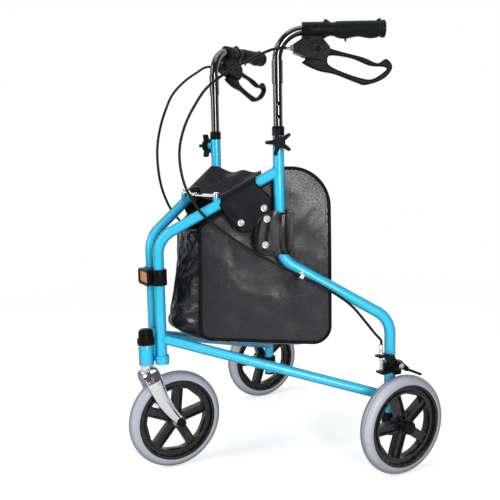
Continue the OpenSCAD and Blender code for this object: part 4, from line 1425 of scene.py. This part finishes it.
@dataclass
class BrakeCable:
    """Sheathed cable from the lever's housing down to the rear brake."""

    plane: SidePlane
    radius: float = 2.5
    route: tuple[Point, ...] = (
        (242.8, -10, 790), (238, -10.6, 790.2), (228, -13.4, 789.5), (212, -13.8, 786),
        (186, -13, 775), (141, -13, 753), (101, -13, 725), (78, -13, 695), (59, -13, 660),
        (48, -13, 623), (47, -13, 588), (54, -13.5, 552), (67, -14.2, 524), (87, -14.4, 496),
        (125, -15, 463), (170, -15.5, 431), (225, -15.5, 400), (265, -15, 379), (300, -14.5, 361),
        (336, -14, 338), (360, -14, 318), (383, -15, 290), (400, -16.5, 268), (410, -17.4, 257),
        (412, -17.6, 252), (412, -17.6, 247.2))
    swing: Pair = (48.0, -13.0)
    top_z: float = 700.0
    low_z: float = 540.0

    def dress(self, on: Dresser) -> None:
        """Build the cable.

        Args:
            on: dresser of the pieces.
        """
        w = self.plane.word
        path = Shape.curve([self.plane.point(*p) for p in self.route], 6)
        cable = Shape.tube(f"{w}_cable", path, self.radius * MM, 14)
        on.piece(cable, Finishes.cable_sheath, None, [f"{w}_brake_cable"])
        self.plane.point(*self.swing, self.low_z)
        self.plane.point(*self.swing, self.top_z)
        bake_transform(cable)


@dataclass
class RearBrake:
    """Bracket, arm, return spring, wire and bolt of one rear brake."""

    plane: SidePlane
    post_x: float = 224.97
    post_y: float = 174.75
    wire: Pair = (6.0, -26.0)
    wire_z: tuple[float, ...] = (222.5, 212.0, 204.0, 197.0)
    inner_r: float = 0.8
    spring_low: float = 196.3
    spring_high: float = 221.7
    curls: int = 7
    curl_steps: int = 24
    coil_r: float = 3.5
    wire_r: float = 0.7
    pulled: float = 0.72
    ferrule: Loop = (
        (3.3, 226.2), (4.7, 226.4), (4.7, 231.0), (3.9, 231.4), (3.5, 232.2), (3.5, 236.0),
        (3.9, 236.4), (3.9, 238.0), (3.5, 238.4), (3.5, 246.2), (3.1, 247.0), (2.7, 247.2))
    bolt_at: Point = (22.6, 9, 203)
    bolt: Loop = ((6.2, 0.0), (6.2, 1.0), (4.4, 1.1), (4.4, 2.6), (3.6, 3.6), (2.0, 4.1),
                  (0.0, 4.3))

    def at(self, x: float, y: float, z: float) -> Vector:
        """Place of a point measured outboard, to the rear and up from the rear post."""
        return Vector((self.plane.side.value * (self.post_x + x), self.post_y + y, z)) * MM

    def dress(self, on: Dresser) -> None:
        """Dress the brake's nodes and build its spring, wire, ferrule and bolt.

        Args:
            on: dresser of the pieces.
        """
        w = self.plane.word
        on.nodes(w, *((f"_brake_{name}", Finishes.black_metal, 0.6) for name in ("bracket", "arm")))
        coil = on.piece(self.spring(), Finishes.spring_steel, f"{w}_frame", [f"{w}_brake_spring"])
        line = [self.at(*self.wire, z) for z in self.wire_z]
        wire = on.piece(Shape.tube(f"{w}_inner_wire", line, self.inner_r * MM, 8),
                        Finishes.spring_steel, f"{w}_frame")
        for piece in (coil, wire):
            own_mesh(piece)
        seat = Matrix.Translation(self.at(*self.wire, 0))
        on.piece(Shape.lathe(f"{w}_ferrule", self.ferrule, seat, 36), Finishes.chrome, f"{w}_frame")
        turn = Matrix.Rotation(math.radians(90 * self.plane.side.value), 4, "Y")
        bolt = Shape.lathe(f"{w}_brake_bolt", self.bolt,
                           Matrix.Translation(self.at(*self.bolt_at)) @ turn, 36)
        on.piece(bolt, Finishes.zinc_steel, f"{w}_frame")

    def spring(self) -> Piece:
        """Make the open coil between the arm's tab and the ear.

        Returns:
            The coil.
        """
        rise = self.spring_high - self.spring_low - 2 * self.wire_r
        steps = self.curls * self.curl_steps
        line: list[Vector] = []
        for i in range(steps + 1):
            a = math.tau * self.curls * i / steps
            line.append(self.at(self.wire[0] + self.coil_r * math.cos(a),
                                self.wire[1] + self.coil_r * math.sin(a),
                                self.spring_low + self.wire_r + rise * i / steps))
        return Shape.tube(f"{self.plane.word}_spring_coil", line, self.wire_r * MM, 10)


class Cloth:
    """Ways to cut, hang and thicken the bag's sheets."""

    frames: int = 24
    quality: int = 6
    mass: float = 0.25
    stiffness: float = 18.0
    bending: float = 1.2
    row_step: float = 0.87
    edge_gap: float = 0.62

    @staticmethod
    def spread(line: Loop, step: float, closed: bool = True) -> list[Pair]:
        """Points at an even step along a line.

        Args:
            line: points of the line.
            step: distance between two points.
            closed: the line runs back to its start.

        Returns:
            The points, with the last one only where the line is open.
        """
        pts = np.array([*line, line[0]] if closed else line)
        run = np.concatenate([[0], np.cumsum(np.linalg.norm(np.diff(pts, axis=0), axis=1))])
        at = np.linspace(0, run[-1], max(8, int(run[-1] / step)), endpoint=not closed)
        return list(zip(np.interp(at, run, pts[:, 0]), np.interp(at, run, pts[:, 1])))

    @staticmethod
    def gaps(flat: np.ndarray, ring: Loop) -> np.ndarray:
        """Distance of each point from the nearest point of a ring."""
        return np.array([np.linalg.norm(np.array(ring) - p, axis=1).min() for p in flat])

    @classmethod
    def cut(cls, loop: Loop, step: float) -> tuple[np.ndarray, list[tuple[int, ...]]]:
        """Fill an outline with a regular net of triangles.

        Args:
            loop: outline as (s, z) in millimetres.
            step: size of the net.

        Returns:
            Points and faces.
        """
        edge = cls.spread(loop, step)
        (s_low, z_low), (s_high, z_high) = np.min(edge, axis=0), np.max(edge, axis=0)
        heights = np.arange(z_low + step / 2, z_high, step * cls.row_step)
        spots = np.array([(s, z) for j, z in enumerate(heights)
                          for s in np.arange(s_low + step / 2 * (j % 2), s_high, step)])
        inner = spots[cls.gaps(spots, edge) > cls.edge_gap * step]
        verts = [Vector(p) for p in (*edge, *inner)]
        n = len(edge)
        ring = [(i, (i + 1) % n) for i in range(n)]
        out = delaunay_2d_cdt(verts, ring, [list(range(n))], 1, 1e-5)
        return np.array([tuple(v) for v in out[0]]), [tuple(f) for f in out[2]]

    @classmethod
    def settle(cls, piece: Piece, pins: np.ndarray, slack: float) -> tuple[np.ndarray, np.ndarray]:
        """Let a sheet hang as cloth from its pinned points.

        Args:
            piece: the sheet.
            pins: weight of each point, 1 where it is held.
            slack: share of cloth that is spare.
        """
        rest = cls.points(piece)
        group = piece.vertex_groups.new(name="held")
        group.add([i for i, weight in enumerate(pins) if weight > 0], 1.0, "REPLACE")
        cloth = piece.modifiers.new("cloth", "CLOTH")
        cloth.settings.quality = cls.quality
        cloth.settings.mass = cls.mass
        cloth.settings.tension_stiffness = cls.stiffness
        cloth.settings.compression_stiffness = cls.stiffness
        cloth.settings.bending_stiffness = cls.bending
        cloth.settings.shrink_min = -slack
        cloth.settings.vertex_group_mass = "held"
        cloth.settings.pin_stiffness = 1.0
        cloth.point_cache.frame_start, cloth.point_cache.frame_end = 1, cls.frames
        scene = bpy.context.scene
        for frame in range(1, cls.frames + 1):
            scene.frame_set(frame)
        moved = cls.points(Shape.result(piece))
        piece.modifiers.remove(cloth)
        piece.vertex_groups.clear()
        scene.frame_set(1)
        return rest, moved - rest

    @staticmethod
    def points(piece: Piece) -> np.ndarray:
        """Places of a piece's points.

        Args:
            piece: the piece.

        Returns:
            One row for each point, in metres.
        """
        found = np.zeros(len(piece.data.vertices) * 3)
        piece.data.vertices.foreach_get("co", found)
        return found.reshape(-1, 3)

    @staticmethod
    def capped(step: np.ndarray, cap: float) -> np.ndarray:
        """Hold the way that each point has settled smoothly under a limit in metres."""
        far = np.linalg.norm(step, axis=1)
        return step * (cap * np.tanh(far / cap) / np.maximum(far, 1e-9))[:, None]

    @staticmethod
    def declare(piece: Piece, held: str, flat: Pair, rests_on: str) -> None:
        """Take a sheet before it gets its thickness, and do nothing with it.

        Args:
            piece: the thin sheet; not used.
            held: how it is held; not used.
            flat: width and least length of the blank that it was cut from, in metres; not used.
            rests_on: name of what it hangs from; not used.
        """

    @staticmethod
    def thicken(piece: Piece, thick: float, levels: int = 1) -> None:
        """Smooth a sheet and give it thickness, with the changes applied.

        Args:
            piece: the thin sheet.
            thick: its thickness in millimetres.
            levels: how often its faces are halved, 0 for never.
        """
        if levels:
            smooth = piece.modifiers.new("smooth", "SUBSURF")
            smooth.levels = smooth.render_levels = levels
            smooth.boundary_smooth = "PRESERVE_CORNERS"
        solid = piece.modifiers.new("thick", "SOLIDIFY")
        solid.thickness = thick * MM
        solid.offset = 0.0
        bpy.context.view_layer.update()
        data = bpy.data.meshes.new_from_object(Shape.result(piece))
        piece.modifiers.clear()
        piece.data = data
        Shape.smooth(data)


@dataclass
class BagForm:
    """Outline of the bag's sides and the way that they lie on the side frames."""

    plane: SidePlane
    front_s: float = 72.0
    rear_s: float = 322.0
    low_z: float = 243.0
    crown_z: float = 579.0
    shoulder_z: float = 556.0
    crown_r: float = 74.0
    foot_r: float = 34.0
    toe_r: float = 20.0
    toe_lift: float = 12.0
    foot_steps: int = 10
    crown_steps: int = 16
    toe_steps: int = 8
    curl: float = 13.0
    curl_from: Pair = (190.0, 400.0)
    droop: float = 30.0
    droop_from: float = 470.0
    thick: float = 2.0
    mesh_step: float = 8.0

    def lean(self, s: float, z: float) -> float:
        """How far the upper rear corner of a bag side curls inward."""
        s_from, z_from = self.curl_from
        return self.curl * share(s, s_from, self.rear_s) ** 2 * share(z, z_from, self.crown_z) ** 2

    def on_side(self, s: float, y: float, z: float) -> Vector:
        """Point on a bag side, with its curled corner and the far side's drooping crown."""
        fall = 0.0 if self.plane.near else share(z, self.droop_from, self.crown_z) ** 1.5
        return self.plane.point(s, y + self.lean(s, z), z - self.droop * fall)

    def outline(self, inset: float) -> list[Pair]:
        """Outline of a bag side, from the lower rear round to the lower front.

        Args:
            inset: distance inside the full outline.

        Returns:
            Points (s, z): the foot, the crown, the shoulder under the tube and the toe.
        """
        def arc(s: float, z: float, r: float, start: float, steps: int) -> list[Pair]:
            """Points of a quarter turn from a start angle."""
            turns = [math.radians(start + 90 * i / steps) for i in range(steps + 1)]
            return [(s + (r - inset) * math.cos(a), z + (r - inset) * math.sin(a)) for a in turns]

        foot, crown, toe = self.foot_r, self.crown_r, self.toe_r
        f, z = self.front_s, slope_z(self.front_s)
        shoulder = [(UPRIGHT_S, self.crown_z - inset), (UPRIGHT_S - 16, self.shoulder_z - inset),
                    (f + 14, z - 12 - inset), (f + 4 + inset, z - 22)]
        return [
            *arc(self.rear_s - foot, self.low_z + foot, foot, -90, self.foot_steps),
            *arc(self.rear_s - crown, self.crown_z - crown, crown, 0, self.crown_steps),
            *shoulder,
            *arc(f + toe, self.low_z + self.toe_lift + toe, toe, 180, self.toe_steps)]


@dataclass
class BagSide(BagForm):
    """One stiff side of the bag with its bound edge and stitches."""

    panel_y: float = 14.7
    inset: float = 1.0
    flat: Pair = (0.25, 0.336)
    slack: float = 0.05
    held_w: float = 3.0
    soft_w: float = 40.0
    sag: Pair = (2.2, 14.0)
    bulge: float = 1.1
    swell: float = 0.6
    calm_corner: float = 0.85
    piping_r: float = 3.4
    piping_inset: float = 1.6
    stitch_inset: float = 8.4
    stitch_step: float = 2.2
    stitch_w: float = 0.36
    stitch_high: float = 0.55

    def dress(self, on: Dresser) -> None:
        """Build the side, its bound edge and its stitches.

        Args:
            on: dresser of the pieces.
        """
        w = self.plane.word
        on.piece(self.panel(), Finishes.bag_vinyl, f"{w}_frame", [f"{w}_bag_panel"])
        loop = Cloth.spread(self.outline(self.piping_inset), 5.0)
        line = [self.on_side(s, self.panel_y, z) for s, z in loop]
        piping = Shape.tube(f"{w}_bag_piping", line, self.piping_r * MM, 10, True)
        on.piece(piping, Finishes.bag_piping, f"{w}_frame")
        on.piece(self.stitches(), Finishes.thread, f"{w}_frame")

    @staticmethod
    def billow(s: np.ndarray, z: np.ndarray) -> np.ndarray:
        """Broad and small waves of the padded cloth at points (s, z), in millimetres."""
        return (1.0 * np.sin(s / 46 + z / 120) + 0.8 * np.sin(z / 38 + 1.3)
                + 0.9 * np.sin(s / 17 - z / 29) * np.sin(z / 21 + s / 60)
                + 0.6 * np.sin(s / 11 + z / 14 + 2) * np.sin(s / 37 - z / 25))

    def panel(self) -> Piece:
        """Make the stiff padded sheet that sags a little inside its piping.

        Returns:
            The sheet with its thickness.
        """
        flat, faces = Cloth.cut(self.outline(self.inset), self.mesh_step)
        gap = Cloth.gaps(flat, Cloth.spread(self.outline(self.inset), 4.0))
        verts = [self.on_side(s, self.panel_y, z) for s, z in flat]
        piece = Shape.mesh(f"{self.plane.word}_bag_side", verts, faces)
        rest, step = Cloth.settle(piece, gap < self.held_w, self.slack)
        inward = np.array(self.plane.point(0, 1, 0) - self.plane.point(0, 0, 0)) / MM
        lean = step @ inward / MM
        hold = share(gap, 0, self.soft_w)
        deep, reach = self.sag
        soft = np.where(lean < 0, np.maximum(lean, -self.bulge), deep * np.tanh(lean / reach))
        wave = np.maximum(hold * self.billow(*flat.T), -self.swell)
        most = self.lean(self.rear_s, self.crown_z)
        calm = 1 - self.calm_corner * np.array([math.sqrt(self.lean(*p) / most) for p in flat])
        final = rest + np.outer((soft * hold + wave) * calm * MM, inward)
        piece.data.vertices.foreach_set("co", final.ravel())
        Cloth.declare(piece, "stretched", self.flat, f"{self.plane.word}_rear_tube")
        Cloth.thicken(piece, self.thick)
        return piece

    def stitches(self) -> Piece:
        """Sew a row of stitches inside the bound edge.

        Returns:
            All stitches as one piece.
        """
        verts: list[Vector] = []
        faces: list[Sequence[int]] = []
        face_y = self.panel_y - self.thick / 2
        spots = [Vector(p) for p in Cloth.spread(self.outline(self.stitch_inset), self.stitch_step)]
        for a, b in zip(spots[:-1:2], spots[1::2]):
            along = (b - a).normalized() * self.stitch_w
            side = Vector((-along.y, along.x))
            base = len(verts)
            high = self.stitch_high
            for t, lift in ((0.0, 0.0), (0.3, high), (0.7, high), (1.0, 0.0)):
                p = a + (b - a) * t
                verts += [self.on_side(q.x, y, q.y) for q in (p + side, p - side)
                          for y in (face_y - lift - 0.1, face_y + 0.5)]
            for o in (base, base + 4, base + 8):
                faces += [(o, o + 2, o + 6, o + 4), (o + 1, o + 5, o + 7, o + 3),
                          (o, o + 4, o + 5, o + 1), (o + 2, o + 3, o + 7, o + 6)]
            end = base + 12
            faces += [(base, base + 1, base + 3, base + 2), (end, end + 2, end + 3, end + 1)]
        return Shape.mesh(f"{self.plane.word}_bag_stitches", verts, faces)


@dataclass
class BagWall(BagForm):
    """Folded wall between the two sides: down the front, under the bag and up the rear."""

    wall_y: float = 16.8
    inset: float = 1.5
    cols: int = 17
    crown_rows: int = 11
    slack: float = 0.03
    cap: float = 10.0
    full: float = 6.75
    far_share: float = 0.25
    front_s_span: Pair = (112.0, 82.0)
    toe_s_span: Pair = (125.0, 80.0)
    toe_z_span: Pair = (345.0, 275.0)
    crown_s: float = 200.0
    crown_z_span: Pair = (490.0, 570.0)
    swell_z_span: Pair = (480.0, 310.0)
    front_swell: Pair = (15.0, 29.0)
    rear_swell: float = 7.0
    toe_rise: float = 15.0
    crown_fall: float = 34.0
    cuts_s: tuple[float, ...] = (96, 128, 160, 192, 224, 256, 288)
    turn_at: Pair = (318.0, 280.0)

    def path(self) -> list[Pair]:
        """Line (s, z) of the wall from the top of the front to the top of the rear.

        Returns:
            Points at an even step.
        """
        loop = self.outline(self.inset)
        top = (self.front_s + 6, slope_z(self.front_s) - 24)
        rear = loop[:self.foot_steps + 1 + self.crown_rows]
        return Cloth.spread([top, *loop[-self.toe_steps - 1:], *rear], self.mesh_step, False)

    def net(self, s: np.ndarray, z: np.ndarray) -> tuple[np.ndarray, np.ndarray]:
        """Points of one half of the wall before it hangs, from the middle to the side.

        Args:
            s: distance along the frame of each row.
            z: height of each row.

        Returns:
            The points by row and column, and each row's half width, in millimetres.
        """
        ends = [self.on_side(row_s, self.wall_y, row_z) for row_s, row_z in zip(s, z)]
        yz = np.stack([[p.y / MM for p in ends], z], axis=1)
        edge = np.array([abs(p.x) / MM for p in ends])
        droop = z - np.array([p.z / MM for p in ends])
        tang = np.gradient(yz, axis=0)
        tang /= np.linalg.norm(tang, axis=1)[:, None]
        out = np.stack([tang[:, 1], -tang[:, 0]], axis=1)
        out *= np.sign(((yz - yz.mean(0)) * out).sum(1))[:, None]
        front = share(s, *self.front_s_span)
        toe = share(s, *self.toe_s_span) * share(z, *self.toe_z_span)
        crown = share(z, *self.crown_z_span) * (s > self.crown_s)
        least, more = self.front_swell
        ahead = least + more * share(z, *self.swell_z_span)
        swell = front * ahead + (1 - front) * self.rear_swell
        out[:, 1] *= 1 - 0.9 * toe
        grid = np.zeros((len(s), self.cols, 3))
        for j in range(self.cols):
            u = j / (self.cols - 1)
            spare = self.full * u * u * (1 - u) * (1.0 if self.plane.near else self.far_share)
            fold = spare * (3.6 * np.sin(z * 0.09 + 7 * u) + 2.6 * np.sin(z * 0.21 - 9 * u + 1))
            crumple = spare * 1.6 * np.sin(z * 0.37 + 13 * u) * np.sin(z * 0.05 + 2)
            pleat = front * spare * 1.4 * np.sin(z * 0.13 + 16 * u)
            push = (1 - u ** 4) * swell + (fold + crumple) * (0.35 + 0.65 * front) + pleat
            grid[:, j, 0] = self.plane.side.value * u * edge
            grid[:, j, 1:] = yz + out * push[:, None]
            grid[:, j, 2] += (self.toe_rise * toe * (1 - u ** 3)
                              - self.crown_fall * crown * (1 - u ** 2) - droop * u ** 2)
        return grid, edge

    def dress(self, on: Dresser) -> None:
        """Make one half of the wall, settled as cloth and cut where it has to turn.

        Args:
            on: dresser of the pieces.
        """
        w = self.plane.word
        s, z = np.array(self.path()).T
        grid, edge = self.net(s, z)
        rows = len(s)
        whole = Shape.mesh(f"{w}_wall_cloth", grid.reshape(-1, 3) * MM, Shape.net(rows, self.cols))
        pins = np.zeros((rows, self.cols))
        pins[:, [0, -1]] = pins[[0, -1], :] = 1
        _, step = Cloth.settle(whole, pins.ravel(), self.slack)
        bpy.data.objects.remove(whole)
        moved = grid * MM + Cloth.capped(step, self.cap * MM).reshape(grid.shape)
        turn = int(np.argmax((s > self.turn_at[0]) & (z > self.turn_at[1])))
        cuts = [0, *(int(np.argmax(s > at)) for at in self.cuts_s), turn, rows - 1]
        for k, (a, b) in enumerate(zip(cuts, cuts[1:])):
            part, half = moved[a:b + 1], edge[a:b + 1]
            piece = Shape.mesh(f"{w}_bag_wall_{k}", part.reshape(-1, 3),
                               Shape.net(len(part), self.cols))
            Cloth.declare(piece, "gathered", (float(half.mean()) * MM, 0.01), f"{w}_bag_side")
            Cloth.thicken(piece, self.thick)
            on.piece(piece, Finishes.soft_vinyl, None, ["bag_gusset"])
            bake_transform(piece)


@dataclass
class BagLid:
    """Lid over the sloping tubes: a sagging top, the turn over the tube and a flap."""

    plane: SidePlane
    front: Pair = (118.0, 125.0)
    rear: Pair = (183.0, 212.0)
    flap_rear_s: float = 209.0
    flap: Loop = (
        (118, 512), (124, 504), (131, 491), (145, 472), (153, 465), (162, 462.4), (169, 464),
        (175, 467.8), (186.5, 478.8), (196, 488), (202, 496.5), (209, 512))
    cols: int = 23
    top_rows: int = 13
    turn_rows: int = 8
    flap_rows: int = 14
    sag: float = 15.0
    rear_lift: float = 13.0
    near_sag: float = 9.0
    tube_y: float = 3.0
    round_r: float = 12.4
    lift: float = 0.6
    thick: float = 1.6
    slack: float = 0.04
    cap: float = 7.0
    flat: Pair = (0.09, 0.2)
    hem_r: float = 1.7
    bend_s: Pair = (166.0, 122.0)

    def line(self, f: float) -> list[Vector]:
        """One line of the lid, from its middle over the tube to the flap's lower edge.

        Args:
            f: place of the line, from 0 at the front to 1 at the rear.

        Returns:
            The line's points.
        """
        c, n = self.plane.turn
        pick = 0 if self.plane.near else 1
        front, rear = self.front[pick], self.rear[pick]
        mid_front, mid_rear = sum(self.front) / 2, sum(self.rear) / 2
        tilt = math.atan((SLOPE_HEAD_Z - SLOPE_FOOT_Z) / UPRIGHT_S)
        over = (self.round_r + self.lift) / math.cos(tilt)
        made: list[Vector] = []
        for t in (i / self.top_rows for i in range(self.top_rows)):
            first = mid_front + (front - mid_front) * t
            s = first + (mid_rear + (rear - mid_rear) * t - first) * f
            mid = (self.plane.half_gap + s * n) / c
            sag = (1 - t ** 2) * (self.sag - self.rear_lift * f)
            if self.plane.near:
                sag += self.near_sag * f * math.sin(math.pi * t ** 1.3)
            ripple = 3.2 * math.sin(9 * t + 5 * f) + 2.0 * math.sin(15 * t - 11 * f)
            z = slope_z(s) + over - sag + math.sin(math.pi * t) * ripple
            made.append(self.plane.point(s, mid + (self.tube_y - mid) * t, z))
        s = front + (rear - front) * f
        high = slope_z(s)
        for i in range(self.turn_rows + 1):
            a = math.radians(90 + 90 * i / self.turn_rows)
            made.append(self.plane.point(s, self.round_r * math.cos(a), high + over * math.sin(a)))
        s_low = front + (max(rear, self.flap_rear_s) - front) * f
        low = float(np.interp(s_low, *np.array(self.flap).T))
        for t in (i / self.flap_rows for i in range(1, self.flap_rows + 1)):
            dent = 0.9 * math.sin(6 * f + 4 * t) * t + 0.8 * math.sin(14 * f - 6 * t) * t * (1 - t)
            made.append(self.plane.point(s + (s_low - s) * min(1.0, 1.5 * t),
                                    -self.round_r - max(-0.6, dent), high + (low - high) * t))
        return made

    def dress(self, on: Dresser) -> None:
        """Make one half of the lid and the bound hem of its flap.

        Args:
            on: dresser of the pieces.
        """
        w = self.plane.word
        grid = [self.line(j / (self.cols - 1)) for j in range(self.cols)]
        rows = len(grid[0])
        verts = [p for line in grid for p in line]
        piece = Shape.mesh(f"{w}_bag_lid", verts, Shape.net(self.cols, rows))
        pins = np.zeros((self.cols, rows))
        pins[:, 0] = pins[:, self.top_rows - 1:] = 1
        rest, step = Cloth.settle(piece, pins.ravel(), self.slack)
        moved = rest + Cloth.capped(step, self.cap * MM)
        piece.data.vertices.foreach_set("co", moved.ravel())
        Cloth.declare(piece, "draped", self.flat, f"{w}_front_tube")
        Cloth.thicken(piece, self.thick)
        on.piece(piece, Finishes.lid_vinyl, None, ["bag_lid"])
        middle, end = self.bend_s
        spot = self.plane.point(middle, 0, slope_z(middle))
        self.plane.point(end, 4, 0).x
        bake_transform(piece)
        edge = self.top_rows + self.turn_rows
        hem = [*grid[0][edge:], *(line[-1] for line in grid[1:-1]), *grid[-1][:edge - 1:-1]]
        bound = Shape.tube(f"{w}_flap_hem", Shape.curve(hem, 2), self.hem_r * MM, 10)
        on.piece(bound, Finishes.bag_piping, f"{w}_frame")


@dataclass
class BagStrap:
    """Sleeve round the upright with its sewn tail, the tab that closes it and the press studs."""

    plane: SidePlane
    low_z: float = 421.0
    high_z: float = 498.0
    bend_r: float = 48.0
    bend_from: float = 438.7
    sleeve_mesh: tuple[int, int] = (34, 72)
    sleeve_r: float = 13.2
    least_r: float = 11.6
    ripple: float = 1.3
    tilt: float = 1.2
    sleeve_flat: Pair = (0.08, 0.077)
    sleeve_thick: float = 1.4
    hem_r: float = 1.8
    hem_ring_r: float = 13.3
    hem_steps: int = 32
    hem_in: float = 1.5
    tab: Loop = ((224, 421), (211, 420), (203, 419), (192, 421), (183, 430), (179, 447), (182, 470),
                 (189, 488), (202, 497), (224, 497))
    leaf_flat: Pair = (0.04, 0.077)
    leaf_step: float = 3.2
    studs: tuple[tuple[str, Point], ...] = (
        ("tab_low", (198.9, -15.4, 439.0)), ("tab_high", (202.5, -15.4, 486.5)),
        ("flap_front", (154.8, -14.2, 480.4)), ("flap_rear", (197.5, -14.2, 506.5)))
    stud_profile: Loop = ((6.4, -0.8), (6.4, 0.6), (5.9, 1.2), (5.2, 1.2), (4.7, 0.8), (4.2, 0.9),
                          (3.4, 1.9), (1.8, 2.5), (0.0, 2.6))

    def around(self, r: float, a: float, z: float) -> Vector:
        """Point round the upright, which starts to bend to the rear low in the sleeve.

        Args:
            r: distance from the upright's middle.
            a: angle round it.
            z: height, to which the sleeve's tilt is added.

        Returns:
            The point in metres.
        """
        deep = min(self.bend_r, max(0.0, self.bend_from - z))
        middle = UPRIGHT_S + self.bend_r - math.sqrt(self.bend_r ** 2 - deep ** 2)
        return self.plane.point(middle + r * math.cos(a), r * math.sin(a),
                                z + self.tilt * math.sin(2 * a))

    def sleeve(self) -> Piece:
        """Make the gathered sleeve.

        Returns:
            The sleeve with its thickness.
        """
        rows, sides = self.sleeve_mesh
        verts: list[Vector] = []
        for t in (i / rows for i in range(rows + 1)):
            deep = self.ripple * (1.0 + 0.5 * math.cos(math.tau * t))
            for a in Shape.angles(sides):
                r = self.sleeve_r + deep * math.sin(6 * a + 0.8 * math.sin(4 * t))
                r = max(r + 0.5 * math.sin(3 * a + 7 * t), self.least_r)
                verts.append(self.around(r, a, self.low_z + (self.high_z - self.low_z) * t))
        made = Shape.mesh(f"{self.plane.word}_strap_sleeve", verts,
                          Shape.net(rows + 1, sides, True))
        Cloth.declare(made, "folded", self.sleeve_flat, f"{self.plane.word}_rear_tube")
        Cloth.thicken(made, self.sleeve_thick, 0)
        return made

    def leaf(self, name: str, loop: Loop, y: float, thick: float, wave: float) -> Piece:
        """Make a small sewn leaf of coated cloth with a soft swell.

        Args:
            name: name of the piece, after the side's word.
            loop: outline (s, z).
            y: distance inward of the tubes' middle.
            thick: its thickness.
            wave: height of the swell.

        Returns:
            The leaf with its thickness.
        """
        outline = Shape.round_loop(loop, 4)
        flat, faces = Cloth.cut(outline, self.leaf_step)
        inner = share(Cloth.gaps(flat, Cloth.spread(outline, 1.5)), 0, 7.0)
        swell = inner * wave * (0.75 + 0.25 * np.sin(flat[:, 0] * 0.3 - flat[:, 1] * 0.05))
        verts = [self.plane.point(s, y - up, z) for (s, z), up in zip(flat, swell)]
        piece = Shape.mesh(f"{self.plane.word}_{name}", verts, faces)
        Cloth.declare(piece, "hung", self.leaf_flat, f"{self.plane.word}_rear_tube")
        Cloth.thicken(piece, thick)
        return piece

    def dress(self, on: Dresser) -> None:
        """Build the sleeve, its hems, the tail, the tab and the studs.

        Args:
            on: dresser of the pieces.
        """
        w, lo, hi = self.plane.word, self.low_z, self.high_z
        on.piece(self.sleeve(), Finishes.strap_vinyl, f"{w}_frame")
        for end, z in (("low", lo + self.hem_in), ("high", hi - self.hem_in)):
            ring = [self.around(self.hem_ring_r, a, z) for a in Shape.angles(self.hem_steps)]
            hem = Shape.tube(f"{w}_strap_hem_{end}", ring, self.hem_r * MM, 10, True)
            on.piece(hem, Finishes.bag_piping, f"{w}_frame")
        tail = ((239.2, lo + 4), (251, lo + 5), (252.5, hi - 8), (250.5, hi), (239.2, hi))
        for row in (("strap_tail", tail, 0.0, 2.6, 0.7), ("strap_tab", self.tab, -13.4, 1.8, 1.9)):
            on.piece(self.leaf(*row), Finishes.strap_vinyl, f"{w}_frame")
        outward = (self.plane.point(0, -1, 0) - self.plane.point(0, 0, 0)).normalized()
        turn = outward.to_track_quat("Z", "Y").to_matrix().to_4x4()
        for name, spot in self.studs:
            place = Matrix.Translation(self.plane.point(*spot)) @ turn
            stud = Shape.lathe(f"{w}_snap_{name}", self.stud_profile, place, 40)
            on.piece(stud, Finishes.snap_nickel, f"{w}_frame")


@dataclass
class Bag:
    """Soft bag: a stiff side on each frame, a folded wall between them and a lid on top."""

    planes: tuple[SidePlane, SidePlane]

    def dress(self, on: Dresser) -> None:
        """Build every piece of the bag.

        Args:
            on: dresser of the pieces.
        """
        for plane in self.planes:
            for kind in (BagSide, BagWall, BagLid, BagStrap):
                kind(plane).dress(on)


def main() -> None:
    """Load the frame and dress it, one sub-assembly after the other."""
    logging.basicConfig(level=logging.INFO, format="%(message)s")
    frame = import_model()
    Stage().build()
    on = Dresser(frame["nodes"])
    planes = (SidePlane(Side.LEFT), SidePlane(Side.RIGHT))
    for plane in planes:
        BrakeCable(plane).dress(on)
    for part in (SteeringHead(), Wheels(), FoldingStay()):
        part.dress(on)
    for plane in planes:
        for kind in (SideFrame, HandleSet, RearBrake):
            kind(plane).dress(on)
    Bag(planes).dress(on)


if __name__ == "__main__":
    main()
